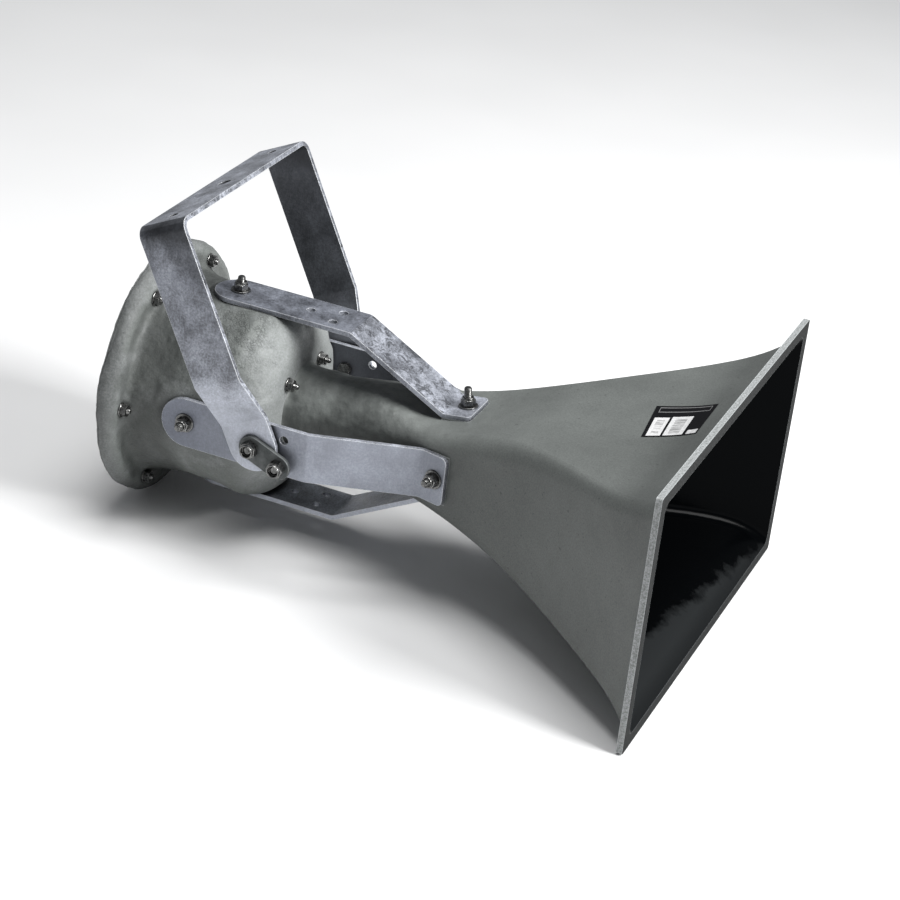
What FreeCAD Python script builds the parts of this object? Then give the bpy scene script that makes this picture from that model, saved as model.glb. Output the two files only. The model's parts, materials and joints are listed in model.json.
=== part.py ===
"""Public-address horn speaker: rectangular fibreglass flare, straps, driver housing and tilting yoke.

Every piece is drawn about the horn's own axis: X across, Y back from the mouth, Z up.
At the end each one is moved to the row frame, which stands the speaker on the floor.
"""

import FreeCAD, Part
import math
import os
import re

import Sketcher

Vector = FreeCAD.Vector
Rotation = FreeCAD.Rotation
Placement = FreeCAD.Placement

doc = FreeCAD.newDocument("horn_speaker")

# Driving dimensions, in millimetres and degrees, and those worked out from them
SIZES = [
    ("mouth_width", 445, "outside width of the mouth flange"),
    ("mouth_clearance", 1.25, "mouth flange above the floor that the housing's flange stands on"),
    ("mouth_height", "2*(housing_flange_radius - mouth_clearance)", "outside height of the mouth flange"),
    ("mouth_flange_thickness", 6, "thickness of the mouth flange"),
    ("mouth_rim_corner", 3, "corners of the mouth flange"),
    ("mouth_inside_corner", 10, "corners of the opening"),
    ("mouth_step_side", 11, "flange standing out beside the flare"),
    ("mouth_step_top", 13.25, "flange standing out above and below the flare"),
    ("mouth_lip_side", 13.5, "flange showing beside the opening"),
    ("mouth_lip_top", 12, "flange showing above and below the opening"),
    ("horn_wall", 5.5, "laminate thickness of the flare and neck"),
    ("neck_radius", 40, "outside of the neck"),
    ("throat_back", 440, "where the neck meets the driver housing, back from the mouth"),
    ("neck_length", 55, "straight neck in front of the housing"),
    ("neck_front", "throat_back - neck_length", "where the neck starts to open out"),
    ("round_flat", 0.5, "half of the short flats between the four arcs of a round section"),
    ("throat_radius", 25.4, "bore of the throat at the driver"),
    ("housing_inside_radius", 94, "clear radius inside the housing"),
    ("housing_length", 139, "front of the housing to its flange"),
    ("housing_wall", 7, "laminate thickness of the housing at its front"),
    ("housing_side_wall", 10.5, "laminate thickness where the housing is fullest"),
    ("housing_flat_wall", 4.2, "laminate left under the straps' flats"),
    ("housing_flange_reach", 27, "how far the flange stands out from the housing"),
    ("housing_flange_thickness", 8, "flange of the front shell"),
    ("flange_bolt_reach", 8.5, "housing bolts, out from the housing's side"),
    ("housing_waist_depth", 4.3, "how far the housing draws in before its flange"),
    ("housing_flange_front", "throat_back + housing_length", "front face of the housing flange"),
    ("housing_body_radius", "housing_inside_radius + housing_side_wall", "housing at its fullest"),
    ("housing_flange_radius", "housing_body_radius + housing_flange_reach", "outside of the round flange"),
    ("flange_bolt_circle", "housing_body_radius + flange_bolt_reach", "radius of the six housing bolts"),
    ("flat_distance", "housing_inside_radius + housing_flat_wall", "flats under the straps, from the axis"),
    ("flat_half_width", 60, "cut of the flats, wider than the flats that it leaves"),
    ("flat_end_run", 15.4, "flats past the rear strap bolts"),
    ("driver_nose_radius", 60, "front boss of the driver"),
    ("driver_nose_margin", 2, "flat front of the housing, past the driver's nose"),
    ("housing_front_radius", "driver_nose_radius + driver_nose_margin", "flat front, round the neck"),
    ("inside_shoulder", "housing_inside_radius - driver_nose_radius", "rounded shoulder inside the housing"),
    ("shoulder_growth", 4, "outer shoulder, deeper than the inner one"),
    ("housing_shoulder", "inside_shoulder + shoulder_growth", "depth of the rounded front shoulder"),
    ("flange_fillet", 6, "hollow between the housing and its flange"),
    ("flange_rounding", 5, "rounded edge of the housing flanges"),
    ("gasket_thickness", 1.5, "rubber ring between the housing flanges"),
    ("gasket_inset", 1, "rubber ring, in from the flanges' edge"),
    ("cover_flange_thickness", 11, "flange of the rear cover"),
    ("cover_dome_margin", 3, "raised middle of the cover, past the clear inside"),
    ("cover_dome_radius", "housing_inside_radius + cover_dome_margin", "raised middle of the rear cover"),
    ("cover_dome_depth", 12, "how far the rear cover stands back from its flange"),
    ("cover_wall", 5, "laminate thickness of the rear cover"),
    ("strap_width", 50.8, "flat bar of the four straps"),
    ("strap_thickness", 4.8, "thickness of the straps"),
    ("strap_reach", 55, "straps running straight in front of the housing"),
    ("strap_bolt_reach", 74.9, "rear strap bolts behind the housing's front"),
    ("strap_pad_back", 19, "straps' front pads, back from the strap station"),
    ("strap_pad_front", 10, "straps' front pads, forward of the strap station"),
    ("strap_bolt_step", 2, "front strap bolts, back from the strap station"),
    ("strap_bend_back", "throat_back - strap_reach", "where the straps leave the housing's line"),
    ("strap_bend_front", "strap_place + strap_pad_back", "where the straps meet the horn"),
    ("strap_front", "strap_place - strap_pad_front", "front end of the straps"),
    ("strap_bolt_back", "throat_back + strap_bolt_reach", "bolts through the straps and the housing"),
    ("strap_bolt_front", "strap_place + strap_bolt_step", "bolts through the straps and the horn"),
    ("strap_bend_radius", 6, "inside of the straps' bends"),
    ("strap_end_corner", 6, "corner radius of the straps' square ends"),
    ("top_pad_back", 41.6, "inner face of the top strap where its pad starts"),
    ("top_pad_front", 45.4, "inner face of the top strap at its front end"),
    ("side_pad_back", 61.6, "inner face of a side strap where its pad starts"),
    ("side_pad_front", 69.2, "inner face of a side strap at its front end"),
    ("pivot_step", 2.1, "tilt axis of the yoke, in front of the housing"),
    ("lock_hole_reach", 29.5, "pair of spare holes in each strap, in front of the tilt axis"),
    ("pivot_back", "throat_back - pivot_step", "tilt axis of the yoke, back from the mouth"),
    ("lock_hole_back", "pivot_back - lock_hole_reach", "pair of spare holes, back from the mouth"),
    ("lock_hole_offset", 12.25, "each of the pair, from the strap's middle"),
    ("strap_hole_radius", 4.4, "clearance holes in the straps"),
    ("pivot_hole_radius", 4.05, "hole that turns on the pivot bolt"),
    ("bolt_radius", 3.97, "five-sixteenths bolts"),
    ("nut_flats", 12.7, "across the flats of the strap nuts"),
    ("nut_height", 8.5, "locking nuts"),
    ("washer_radius", 9.5, "washers under the strap nuts"),
    ("washer_thickness", 1.6, "washers under the strap nuts"),
    ("stud_end", 5, "bolt standing out of its nut"),
    ("pivot_stud_end", 2.3, "pivot bolt standing out of its nut"),
    ("bolt_head_height", 4.6, "bolt heads inside the housing and horn"),
    ("bolt_wall", 5.2, "horn wall left under the front bolt heads"),
    ("spot_radius", 9.6, "spot faces under the bolt heads"),
    ("spot_depth", 0.2, "depth of the spot faces in the housing"),
    ("thread_room", 0.1, "running room between a bolt and its nut or tapped hole"),
    ("small_bolt_radius", 3.1, "quarter-inch bolts of the housing and throat"),
    ("small_hole_radius", 3.4, "their clearance holes"),
    ("small_nut_flats", 11.1, "across the flats of the small nuts"),
    ("small_nut_height", 5.6, "small nuts"),
    ("small_washer_radius", 7.2, "small washers"),
    ("small_washer_thickness", 1.4, "small washers"),
    ("washer_room", 0.4, "clearance round a small washer in its seat"),
    ("small_stud_end", 3, "housing bolts standing out of their nuts"),
    ("throat_stud_end", 8, "throat studs standing out of their nuts"),
    ("throat_bolt_circle", 50.8, "radius of the four throat bolts"),
    ("pivot_washer", 2.4, "washer between each strap and the yoke"),
    ("yoke_splay", 20.5, "how far each leg of the yoke leans out"),
    ("yoke_width", "2*(flat_distance + strap_thickness + pivot_washer + yoke_thickness + yoke_splay)",
     "outside width of the yoke"),
    ("yoke_height", 234, "tilt axis to the outside of the top plate"),
    ("yoke_bar_width", 50.8, "flat bar of the yoke"),
    ("yoke_thickness", 4.8, "thickness of the yoke"),
    ("yoke_pad_end", 25.3, "top of the flat pad at the tilt axis"),
    ("yoke_splay_end", 72.3, "top of the leg's outward slope"),
    ("yoke_bend_radius", 7, "inside of the yoke's two square bends"),
    ("yoke_centre_hole_radius", 6.5, "middle hole of the top plate"),
    ("yoke_side_hole_radius", 4.4, "outer holes of the top plate"),
    ("yoke_side_hole_offset", 101.6, "outer holes from the middle"),
    ("yoke_lean", 26.1, "how far the yoke leans back, in degrees"),
    ("link_width", 25, "width of the link plates"),
    ("link_thickness", 4, "thickness of the link plates"),
    ("spacer_radius", 5.7, "sleeve between strap and link plate"),
    ("pole_radius", 50, "pole piece of the driver"),
    ("driver_clearance", 12, "room round the driver in its housing"),
    ("driver_radius", "housing_inside_radius - driver_clearance", "steel plates of the driver"),
    ("driver_nose", 13.5, "depth of the front boss"),
    ("plate_thickness", 10, "steel plates of the driver"),
    ("magnet_overhang", 3, "ferrite ring, past the steel plates"),
    ("magnet_gap", 10, "room between the ferrite ring and the pole"),
    ("magnet_radius", "driver_radius + magnet_overhang", "outside of the ferrite ring"),
    ("magnet_hole_radius", "pole_radius + magnet_gap", "inside of the ferrite ring"),
    ("magnet_thickness", 20, "ferrite ring"),
    ("coil_gap", 1.8, "air gap round the pole"),
    ("coil_thickness", 0.8, "voice coil and its former"),
    ("coil_overhang", 1, "voice coil standing out of the gap"),
    ("diaphragm_inset", 2, "diaphragm, in from the edge of the top plate"),
    ("surround_width", 6, "free ring of the diaphragm round its dome"),
    ("throat_gasket", 1.5, "cork ring in front of the driver"),
    ("stud_depth", 9, "throat studs in the driver's nose"),
    ("phase_plug_depth", 16, "phase plug in the back of the pole"),
    ("plug_radius", 43, "seat of the phase plug"),
    ("plug_seat", 5, "depth of that seat"),
    ("plug_ledge", 3, "ledge that the plug sits on"),
    ("plug_room", 0.1, "room round the plug in its seat"),
    ("plug_nose", 14, "front point of the plug, in the throat"),
    ("plug_slot", 3, "width of the eight slots"),
    ("dome_room", 1, "gap between the plug and the diaphragm"),
    ("pole_drop", 1, "top of the pole below the top plate"),
    ("diaphragm_rise", 14, "height of the diaphragm dome"),
    ("diaphragm_thickness", 0.6, "diaphragm dome"),
    ("clamp_ring_thickness", 5, "ring that holds the diaphragm"),
    ("driver_cap_depth", 34, "cap behind the diaphragm"),
    ("driver_cap_wall", 4, "wall of that cap"),
    ("transformer_width", 46, "laminated core of the line transformer"),
    ("transformer_depth", 20, "stack of the core"),
    ("winding_depth", 32, "winding, along the stack"),
    ("winding_room", 0.2, "room between the winding and its core"),
    ("bracket_inset", 6, "saddle, narrower than the stack"),
    ("bracket_foot", 5, "saddle's feet, past their screws"),
    ("transformer_rise", 18, "transformer above the axis"),
    ("bracket_thickness", 1.6, "steel saddle of the transformer"),
    ("bracket_screw_offset", 31, "saddle screws from the middle"),
    ("bracket_screw_radius", 2, "saddle screws"),
    ("terminal_length", 40, "terminal block"),
    ("terminal_height", 14, "terminal block"),
    ("terminal_pit_radius", 3.4, "four screw pits of the block"),
    ("terminal_pit_depth", 4, "four screw pits of the block"),
    ("terminal_drop", 38, "terminal block below the axis"),
    ("gland_radius", 8, "threaded stem of the cable gland"),
    ("gland_room", 0.3, "clearance round the stem in the cover"),
    ("gland_inside_reach", 7, "stem standing out inside the cover"),
    ("gland_crown", 7, "rounded end of the gland"),
    ("gland_flats", 24, "across the flats of the gland"),
    ("gland_length", 24, "gland standing out of the rear cover"),
    ("gland_bore_radius", 4.2, "way through the gland for a cable"),
    ("gland_seal", 1.5, "seal under the gland"),
    ("gland_locknut", 4, "locknut of the gland, inside the cover"),
    ("gland_drop", 62, "gland below the axis"),
    ("over", 1, "how far a cut runs past the face that it opens"),
]

# Stations of the flare between neck and mouth:
# name, distance back from the mouth, half width, half height and corner radius of the outside
STATIONS = [
    ("neck", "0.8442*neck_front", 51, 40.5, 26),
    ("strap", "0.6805*neck_front", 66, 43.4, 14),
    ("waist", "0.5195*neck_front", 84, 61.5, 18),
    ("belly", "0.3636*neck_front", 115, 75.5, 16),
    ("bell", "0.2338*neck_front", 149.5, 84.5, 14),
    ("rim", "0.1039*neck_front", 186, 97, 14),
    ("lip", "mouth_flange_thickness", "mouth_width/2 - mouth_step_side",
     "mouth_height/2 - mouth_step_top", 14),
]
STATION_SIZES = ["place", "half_width", "half_height", "corner"]

sizes = doc.addObject("Spreadsheet::Sheet", "Sizes")
for station in STATIONS:
    for what, number in zip(STATION_SIZES, station[1:]):
        SIZES.append((station[0] + "_" + what, number, "flare station, " + what.replace("_", " ")))
for row, (alias, number, note) in enumerate(SIZES, start=1):
    sizes.setAlias("A%d" % row, alias)
    sizes.set("B%d" % row, note)
for row, (alias, number, note) in enumerate(SIZES, start=1):
    sizes.set("A%d" % row, "=" + number if isinstance(number, str) else str(number))
doc.recompute()

ALIASES = {alias for alias, number, note in SIZES}


def formula(text):
    """Puts the sheet's name before each alias of a formula."""
    return re.sub(r"[a-z]\w*", lambda m: "Sizes." + m.group(0) if m.group(0) in ALIASES else m.group(0), text)


def value(text):
    """The number that a formula gives."""
    return float(sizes.evalExpression(formula(text)))


def bind(thing, **formulas):
    """Binds an object's properties to formulas: Length="strap_width" and so on."""
    for name, text in formulas.items():
        thing.setExpression(name.replace("__", "."), formula(text))


# Sketches and features


def plane(body, role):
    """One of a body's own origin planes or axes."""
    return next(feature for feature in body.Origin.OriginFeatures if feature.Role == role)


def new_body(name):
    return doc.addObject("PartDesign::Body", name)


def new_sketch(body, role, name, offset=None):
    """A sketch on an origin plane, moved along the plane's normal by a formula."""
    sketch = body.newObject("Sketcher::SketchObject", name)
    sketch.AttachmentSupport = [(plane(body, role), "")]
    sketch.MapMode = "FlatFace"
    if offset:
        bind(sketch, AttachmentOffset__Base__z=offset)
    return sketch


def fix(sketch, index, corner, x, y):
    """Places one point of a sketch at two formulas."""
    for kind, text in (("DistanceX", x), ("DistanceY", y)):
        number = sketch.addConstraint(Sketcher.Constraint(kind, -1, 1, index, corner, value(text)))
        sketch.setExpression("Constraints[%d]" % number, formula(text))


def arc_between(start, end, radius):
    """The short arc from start to end. A positive radius bulges to the left of the way from start to end."""
    chord = end - start
    middle = (start + end) * 0.5
    left = Vector(-chord.y, chord.x, 0).normalize()
    size = abs(radius)
    sagitta = size - math.sqrt(max(size * size - chord.Length ** 2 / 4, 0))
    return Part.Arc(start, middle + left * math.copysign(sagitta, radius), end)


def outline(sketch, points):
    """Draws a closed outline. A point is (x, y), or (x, y, radius) where an arc runs on to the next point."""
    corners = [Vector(value(p[0]), value(p[1]), 0) for p in points]
    first = sketch.GeometryCount
    count = len(points)
    ends = []
    for i, point in enumerate(points):
        start, end = corners[i], corners[(i + 1) % count]
        if len(point) == 2:
            sketch.addGeometry(Part.LineSegment(start, end), False)
            ends.append((1, 2))
            continue
        arc = arc_between(start, end, value(point[2]))
        index = sketch.addGeometry(arc, False)
        one, other = sketch.getPoint(index, 1), sketch.getPoint(index, 2)
        turned = one.distanceToPoint(start) > other.distanceToPoint(start)
        ends.append((2, 1) if turned else (1, 2))
    for i in range(count):
        after = (i + 1) % count
        sketch.addConstraint(Sketcher.Constraint(
            "Coincident", first + i, ends[i][1], first + after, ends[after][0]))
    for i, point in enumerate(points):
        fix(sketch, first + i, ends[i][0], point[0], point[1])
        if len(point) == 3:
            radius = point[2].lstrip("-")
            number = sketch.addConstraint(Sketcher.Constraint("Radius", first + i, value(radius)))
            sketch.setExpression("Constraints[%d]" % number, formula(radius))


def circle(sketch, x, y, radius):
    """Draws a circle at two formulas, with a formula for its radius."""
    middle = Vector(value(x), value(y), 0)
    index = sketch.addGeometry(Part.Circle(middle, Vector(0, 0, 1), value(radius)), False)
    fix(sketch, index, 3, x, y)
    number = sketch.addConstraint(Sketcher.Constraint("Radius", index, value(radius)))
    sketch.setExpression("Constraints[%d]" % number, formula(radius))


def rectangle(sketch, left, right, low, high):
    outline(sketch, [(left, low), (right, low), (right, high), (left, high)])


def hexagon(sketch, flats):
    """Draws a hexagon about the sketch's origin, across two flats."""
    outline(sketch, [("(%s)/sqrt(3)*cos(%d)" % (flats, a), "(%s)/sqrt(3)*sin(%d)" % (flats, a))
                     for a in range(0, 360, 60)])


def rounded_rectangle(sketch, half_width, half_height, corner):
    """Draws a rectangle about the origin: four lines, joined by four corner arcs."""
    w, h, c = half_width, half_height, corner
    points = []
    for i, (x, y) in enumerate([("", ""), ("-", ""), ("-", "-"), ("", "-")]):
        side = ("%s((%s)-(%s))" % (x, w, c), "%s(%s)" % (y, h))
        end = ("%s(%s)" % (x, w), "%s((%s)-(%s))" % (y, h, c))
        start, stop = (end, side) if i % 2 == 0 else (side, end)
        points.append(start + ("-(%s)" % c,))
        points.append(stop)
    outline(sketch, points)


def pad(body, sketch, name, length, midplane=False, reverse=False):
    feature = body.newObject("PartDesign::Pad", name)
    feature.Profile = sketch
    feature.Midplane = midplane
    feature.Reversed = reverse
    bind(feature, Length=length)
    return feature


def revolve(body, name, points, kind="Revolution"):
    """Turns an outline of (radius, distance back) points about the horn's axis."""
    sketch = new_sketch(body, "XY_Plane", name + "_profile")
    outline(sketch, points)
    feature = body.newObject("PartDesign::" + kind, name)
    feature.Profile = sketch
    feature.ReferenceAxis = (sketch, ["V_Axis"])
    feature.Angle = 360
    return feature


def around(body, features, count, name):
    """Repeats features evenly about the horn's axis."""
    pattern = body.newObject("PartDesign::PolarPattern", name)
    pattern.Originals = features
    pattern.Axis = (plane(body, "Y_Axis"), [""])
    pattern.Angle = 360
    pattern.Occurrences = count
    body.Tip = pattern
    return pattern


def pocket(body, sketch, name, length, midplane=False, reverse=False):
    """Cuts a sketch away and makes sure that it took something."""
    doc.recompute()
    before = body.Shape.Volume
    feature = body.newObject("PartDesign::Pocket", name)
    feature.Profile = sketch
    feature.Midplane = midplane
    feature.Reversed = reverse
    bind(feature, Length=length)
    doc.recompute()
    if body.Shape.Volume > before - 1:
        raise RuntimeError(name + " cuts nothing")
    return feature


def round_edges(body, name, radius, chosen):
    """Rounds the edges of a body's last feature that a test picks."""
    doc.recompute()
    base = body.Tip
    names = ["Edge%d" % (i + 1) for i, edge in enumerate(base.Shape.Edges) if chosen(edge)]
    if not names:
        raise RuntimeError(name + " finds no edges")
    feature = body.newObject("PartDesign::Fillet", name)
    feature.Base = (base, names)
    bind(feature, Radius=radius)
    return feature


def middle_of(edge):
    """The point halfway along an edge."""
    return edge.valueAt((edge.FirstParameter + edge.LastParameter) / 2)


def cylinder(name, radius, height, place):
    """A cylinder for a hole or a pin, with a placement from the sheet."""
    tool = doc.addObject("Part::Cylinder", name)
    bind(tool, Radius=radius, Height=height)
    tool.Placement = place
    return tool


def fused(name, pieces):
    union = doc.addObject("Part::MultiFuse", name)
    union.Shapes = pieces
    return union


def cut(name, base, tools):
    result = doc.addObject("Part::Cut", name)
    result.Base = base
    result.Tool = tools[0] if len(tools) == 1 else fused(name + "_tools", tools)
    return result


def group(name, pieces):
    """Separate like solids in one node."""
    result = doc.addObject("Part::Compound", name)
    result.Links = pieces
    return result


def facing(point, outward, lean=0.0):
    """A placement whose Z axis points along outward, then leans back from the mouth by some degrees."""
    turn = Rotation(Vector(0, 0, 1), outward)
    if lean:
        turn = Rotation(outward.cross(Vector(0, 1, 0)), lean).multiply(turn)
    return Placement(point, turn)


nodes = []


def node(name, thing, back="0", rise="0"):
    """Names a finished sub-part, and says how far back and up its own origin lies."""
    thing.Label = name
    nodes.append((thing, back, rise))
    return thing


# Planes across the axis, as distances back from the mouth
SHELL_BACK = "(housing_flange_front + housing_flange_thickness)"
COVER_FLANGE_BACK = "(%s + gasket_thickness + cover_flange_thickness)" % SHELL_BACK
COVER_BACK = "(%s + cover_dome_depth)" % COVER_FLANGE_BACK
OVERALL_LENGTH = "(%s + gland_length)" % COVER_BACK
FLAT_END = "(strap_bolt_back + flat_end_run)"
GASKET_FRONT = "(throat_back + housing_wall)"
NOSE_FRONT = "(%s + throat_gasket)" % GASKET_FRONT
PLATE_FRONT = "(%s + driver_nose)" % NOSE_FRONT
MAGNET_FRONT = "(%s + plate_thickness)" % PLATE_FRONT
TOP_FRONT = "(%s + magnet_thickness)" % MAGNET_FRONT
TOP_BACK = "(%s + plate_thickness)" % TOP_FRONT
CLAMP_FRONT = "(%s + diaphragm_thickness)" % TOP_BACK
CAP_FRONT = "(%s + clamp_ring_thickness)" % CLAMP_FRONT
CAP_BACK = "(%s + driver_cap_depth)" % CAP_FRONT
CORE_BACK = "(%s + transformer_width*5/6)" % CAP_BACK
DOME_RADIUS = "((pole_radius^2 + diaphragm_rise^2)/(2*diaphragm_rise))"

# Faces of the yoke's pads, as distances from the middle
YOKE_INSIDE = "(flat_distance + strap_thickness + pivot_washer)"
YOKE_OUTSIDE = "(%s + yoke_thickness)" % YOKE_INSIDE

OUT = {"top": Vector(0, 0, 1), "bottom": Vector(0, 0, -1), "left": Vector(-1, 0, 0), "right": Vector(1, 0, 0)}


def pad_name(side):
    """Top and bottom straps share their sizes, and so do the two at the sides."""
    return "top_pad" if side in ("top", "bottom") else "side_pad"


def pad_slope(side):
    """Angle of a strap's front pad, opening towards the mouth."""
    text = "atan(({0}_front - {0}_back)/(strap_bend_front - strap_front))"
    return text.format(pad_name(side))


PAD_MIDDLE = ("({0}_back + ({0}_front - {0}_back)*(strap_bend_front - strap_bolt_front)"
              "/(strap_bend_front - strap_front))")


def pad_facing(side, step="0"):
    """A placement where the bolt crosses the inner face of a strap's pad, moved out by a step."""
    point = OUT[side] * value(PAD_MIDDLE.format(pad_name(side))) + Vector(0, value("strap_bolt_front"), 0)
    place = facing(point, OUT[side], value(pad_slope(side)))
    place.Base = place.Base + place.Rotation.multVec(Vector(0, 0, value(step)))
    return place


# Horn: the flare, its neck and the mouth flange in one laminate


def section(name, back, half_width, half_height, corner):
    """A rounded rectangle across the horn's axis, some way back from the mouth."""
    sketch = doc.addObject("Sketcher::SketchObject", name)
    sketch.Placement.Rotation = Rotation(Vector(1, 0, 0), 90)
    bind(sketch, Placement__Base__y=back)
    rounded_rectangle(sketch, half_width, half_height, corner)
    return sketch


def loft(name, sections):
    """A smooth solid through some sections."""
    solid = doc.addObject("Part::Loft", name)
    solid.Sections = sections
    solid.Solid = True
    solid.MaxDegree = 3
    return solid


def flare(name, inset, first, last):
    """A loft from a first section through the flare's stations to a last one, drawn in from the outside."""
    stations = [station[0] for station in STATIONS[:-1]]
    between = [section("%s_%s" % (name, s), s + "_place", "%s_half_width - %s" % (s, inset),
                       "%s_half_height - %s" % (s, inset), "%s_corner - %s" % (s, inset)) for s in stations]
    return loft(name, [first] + between + [last])


def strap_seat(body, side, role, sign):
    """A flat land under one strap's pad, and the room above it."""
    name = side + ("_mirrored" if sign else "")
    back, front = "%s_pad_back" % side, "%s_pad_front" % side
    for what, reach in (("land", "-0.6*horn_wall"), ("room", "+strap_width")):
        sketch = new_sketch(body, role, "%s_%s" % (name, what))
        corners = [("strap_bend_front", back), ("strap_front", front),
                   ("strap_front", front + reach), ("strap_bend_front", back + reach)]
        corners = [(y, "%s(%s)" % (sign, z)) for y, z in corners]
        outline(sketch, corners if side == "top" else [(z, y) for y, z in corners])
        if what == "land":
            pad(body, sketch, "%s_pad" % name, "strap_width", midplane=True)
        else:
            room = body.newObject("PartDesign::Pocket", name + "_room_cut")
            room.Profile = sketch
            room.Midplane = True
            bind(room, Length="strap_width + over")


def make_horn():
    round_corner = "neck_radius - round_flat"
    neck = section("neck_start", "neck_front", "neck_radius", "neck_radius", round_corner)
    lip = section("lip_end", "lip_place", "lip_half_width", "lip_half_height", "lip_corner")
    body = new_body("horn_shell")
    body.BaseFeature = flare("outside", "0", neck, lip)
    tube = new_sketch(body, "XZ_Plane", "neck_end", "-neck_front")
    rounded_rectangle(tube, "neck_radius", "neck_radius", round_corner)
    pad(body, tube, "neck_tube", "throat_back - neck_front", reverse=True)
    rim = new_sketch(body, "XZ_Plane", "mouth_rim")
    rounded_rectangle(rim, "mouth_width/2", "mouth_height/2", "mouth_rim_corner")
    pad(body, rim, "mouth_flange", "mouth_flange_thickness", reverse=True)
    for side, role in (("top", "YZ_Plane"), ("side", "XY_Plane")):
        for sign in ("", "-"):
            strap_seat(body, side, role, sign)
    throat = section("bore_throat", "throat_back", "throat_radius", "throat_radius",
                     "throat_radius - round_flat")
    bore = "neck_radius - horn_wall"
    start = section("bore_start", "neck_front", bore, bore, bore + " - round_flat")
    mouth = section("bore_mouth", "0", "mouth_width/2 - mouth_lip_side", "mouth_height/2 - mouth_lip_top",
                    "mouth_inside_corner")
    bores = [flare("inside", "horn_wall", start, mouth), loft("throat_cone", [throat, start])]
    hollow = cut("horn_hollow", body, bores)
    holes = []
    for side in OUT:
        holes.append(cylinder("horn_hole_" + side, "strap_hole_radius", "3*horn_wall",
                              pad_facing(side, "-2*horn_wall")))
        holes.append(cylinder("horn_spot_" + side, "spot_radius", "horn_wall",
                              pad_facing(side, "-bolt_wall - horn_wall")))
    return node("horn", cut("horn_drilled", hollow, holes))


# Driver housing: front shell, gasket and rear cover


def flange_holes(body, at):
    """The six bolt holes of a housing flange, cut back from a plane across the axis."""
    sketch = new_sketch(body, "XZ_Plane", body.Name + "_flange_hole", "-(%s)" % at)
    circle(sketch, "flange_bolt_circle", "0", "small_hole_radius")
    return pocket(body, sketch, body.Name + "_flange_hole_cut", "housing_flange_thickness*2")


def throat_holes(body, at, radius, depth):
    """The four bolt holes round the throat, cut back from a plane across the axis."""
    sketch = new_sketch(body, "XZ_Plane", body.Name + "_throat_hole", "-(%s)" % at)
    circle(sketch, "throat_bolt_circle*cos(45)", "throat_bolt_circle*sin(45)", radius)
    hole = pocket(body, sketch, body.Name + "_throat_hole_cut", depth)
    around(body, [hole], 4, body.Name + "_throat_holes")


def make_front_shell():
    body = new_body("shell_body")
    half = "(housing_flange_front - throat_back - housing_shoulder - flange_fillet)/2"
    revolve(body, "shell", [
        ("throat_radius", "throat_back"),
        ("housing_front_radius", "throat_back", "-(housing_body_radius - housing_front_radius)*0.98"),
        ("housing_body_radius", "throat_back + housing_shoulder",
         "((%s)^2 + housing_waist_depth^2)/(2*housing_waist_depth)" % half),
        ("housing_body_radius", "housing_flange_front - flange_fillet", "flange_fillet"),
        ("housing_body_radius + flange_fillet", "housing_flange_front"),
        ("housing_flange_radius - flange_rounding", "housing_flange_front", "-flange_rounding"),
        ("housing_flange_radius", "housing_flange_front + flange_rounding"),
        ("housing_flange_radius", SHELL_BACK),
        ("housing_inside_radius", SHELL_BACK),
        ("housing_inside_radius", "throat_back + housing_wall + inside_shoulder", "inside_shoulder"),
        ("driver_nose_radius", "throat_back + housing_wall"),
        ("throat_radius", "throat_back + housing_wall"),
    ])
    flat = new_sketch(body, "XY_Plane", "strap_flat", "flat_distance")
    outline(flat, [("-flat_half_width", "throat_back"), ("flat_half_width", "throat_back"),
                   ("flat_half_width", FLAT_END, "-1.2*flat_distance"), ("-flat_half_width", FLAT_END)])
    flat_cut = pocket(body, flat, "strap_flat_cut", "housing_flange_reach", reverse=True)
    around(body, [flat_cut], 4, "strap_flats")
    hole = new_sketch(body, "XY_Plane", "strap_hole", "flat_distance + over")
    circle(hole, "0", "strap_bolt_back", "strap_hole_radius")
    hole_cut = pocket(body, hole, "strap_hole_cut", "housing_flat_wall + 2*over")
    seat = new_sketch(body, "XY_Plane", "head_seat", "housing_inside_radius + spot_depth")
    circle(seat, "0", "strap_bolt_back", "spot_radius")
    seat_cut = pocket(body, seat, "head_seat_cut", "housing_flat_wall")
    around(body, [hole_cut, seat_cut], 4, "strap_holes")
    spot = new_sketch(body, "XZ_Plane", "nut_seat", "-housing_flange_front")
    circle(spot, "flange_bolt_circle", "0", "small_washer_radius + washer_room")
    spot_cut = pocket(body, spot, "nut_seat_cut", "flange_fillet*2", reverse=True)
    around(body, [flange_holes(body, "housing_flange_front - over"), spot_cut], 6, "shell_flange_holes")
    throat_holes(body, "throat_back - over", "small_hole_radius", "housing_wall + 2*over")
    return node("front_shell", body)


def make_cover_gasket():
    body = new_body("cover_gasket_body")
    back = SHELL_BACK + " + gasket_thickness"
    revolve(body, "cover_gasket_ring", [
        ("housing_inside_radius", SHELL_BACK),
        ("housing_flange_radius - gasket_inset", SHELL_BACK),
        ("housing_flange_radius - gasket_inset", back),
        ("housing_inside_radius", back),
    ])
    around(body, [flange_holes(body, SHELL_BACK + " - over")], 6, "gasket_holes")
    return node("cover_gasket", body)


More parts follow.
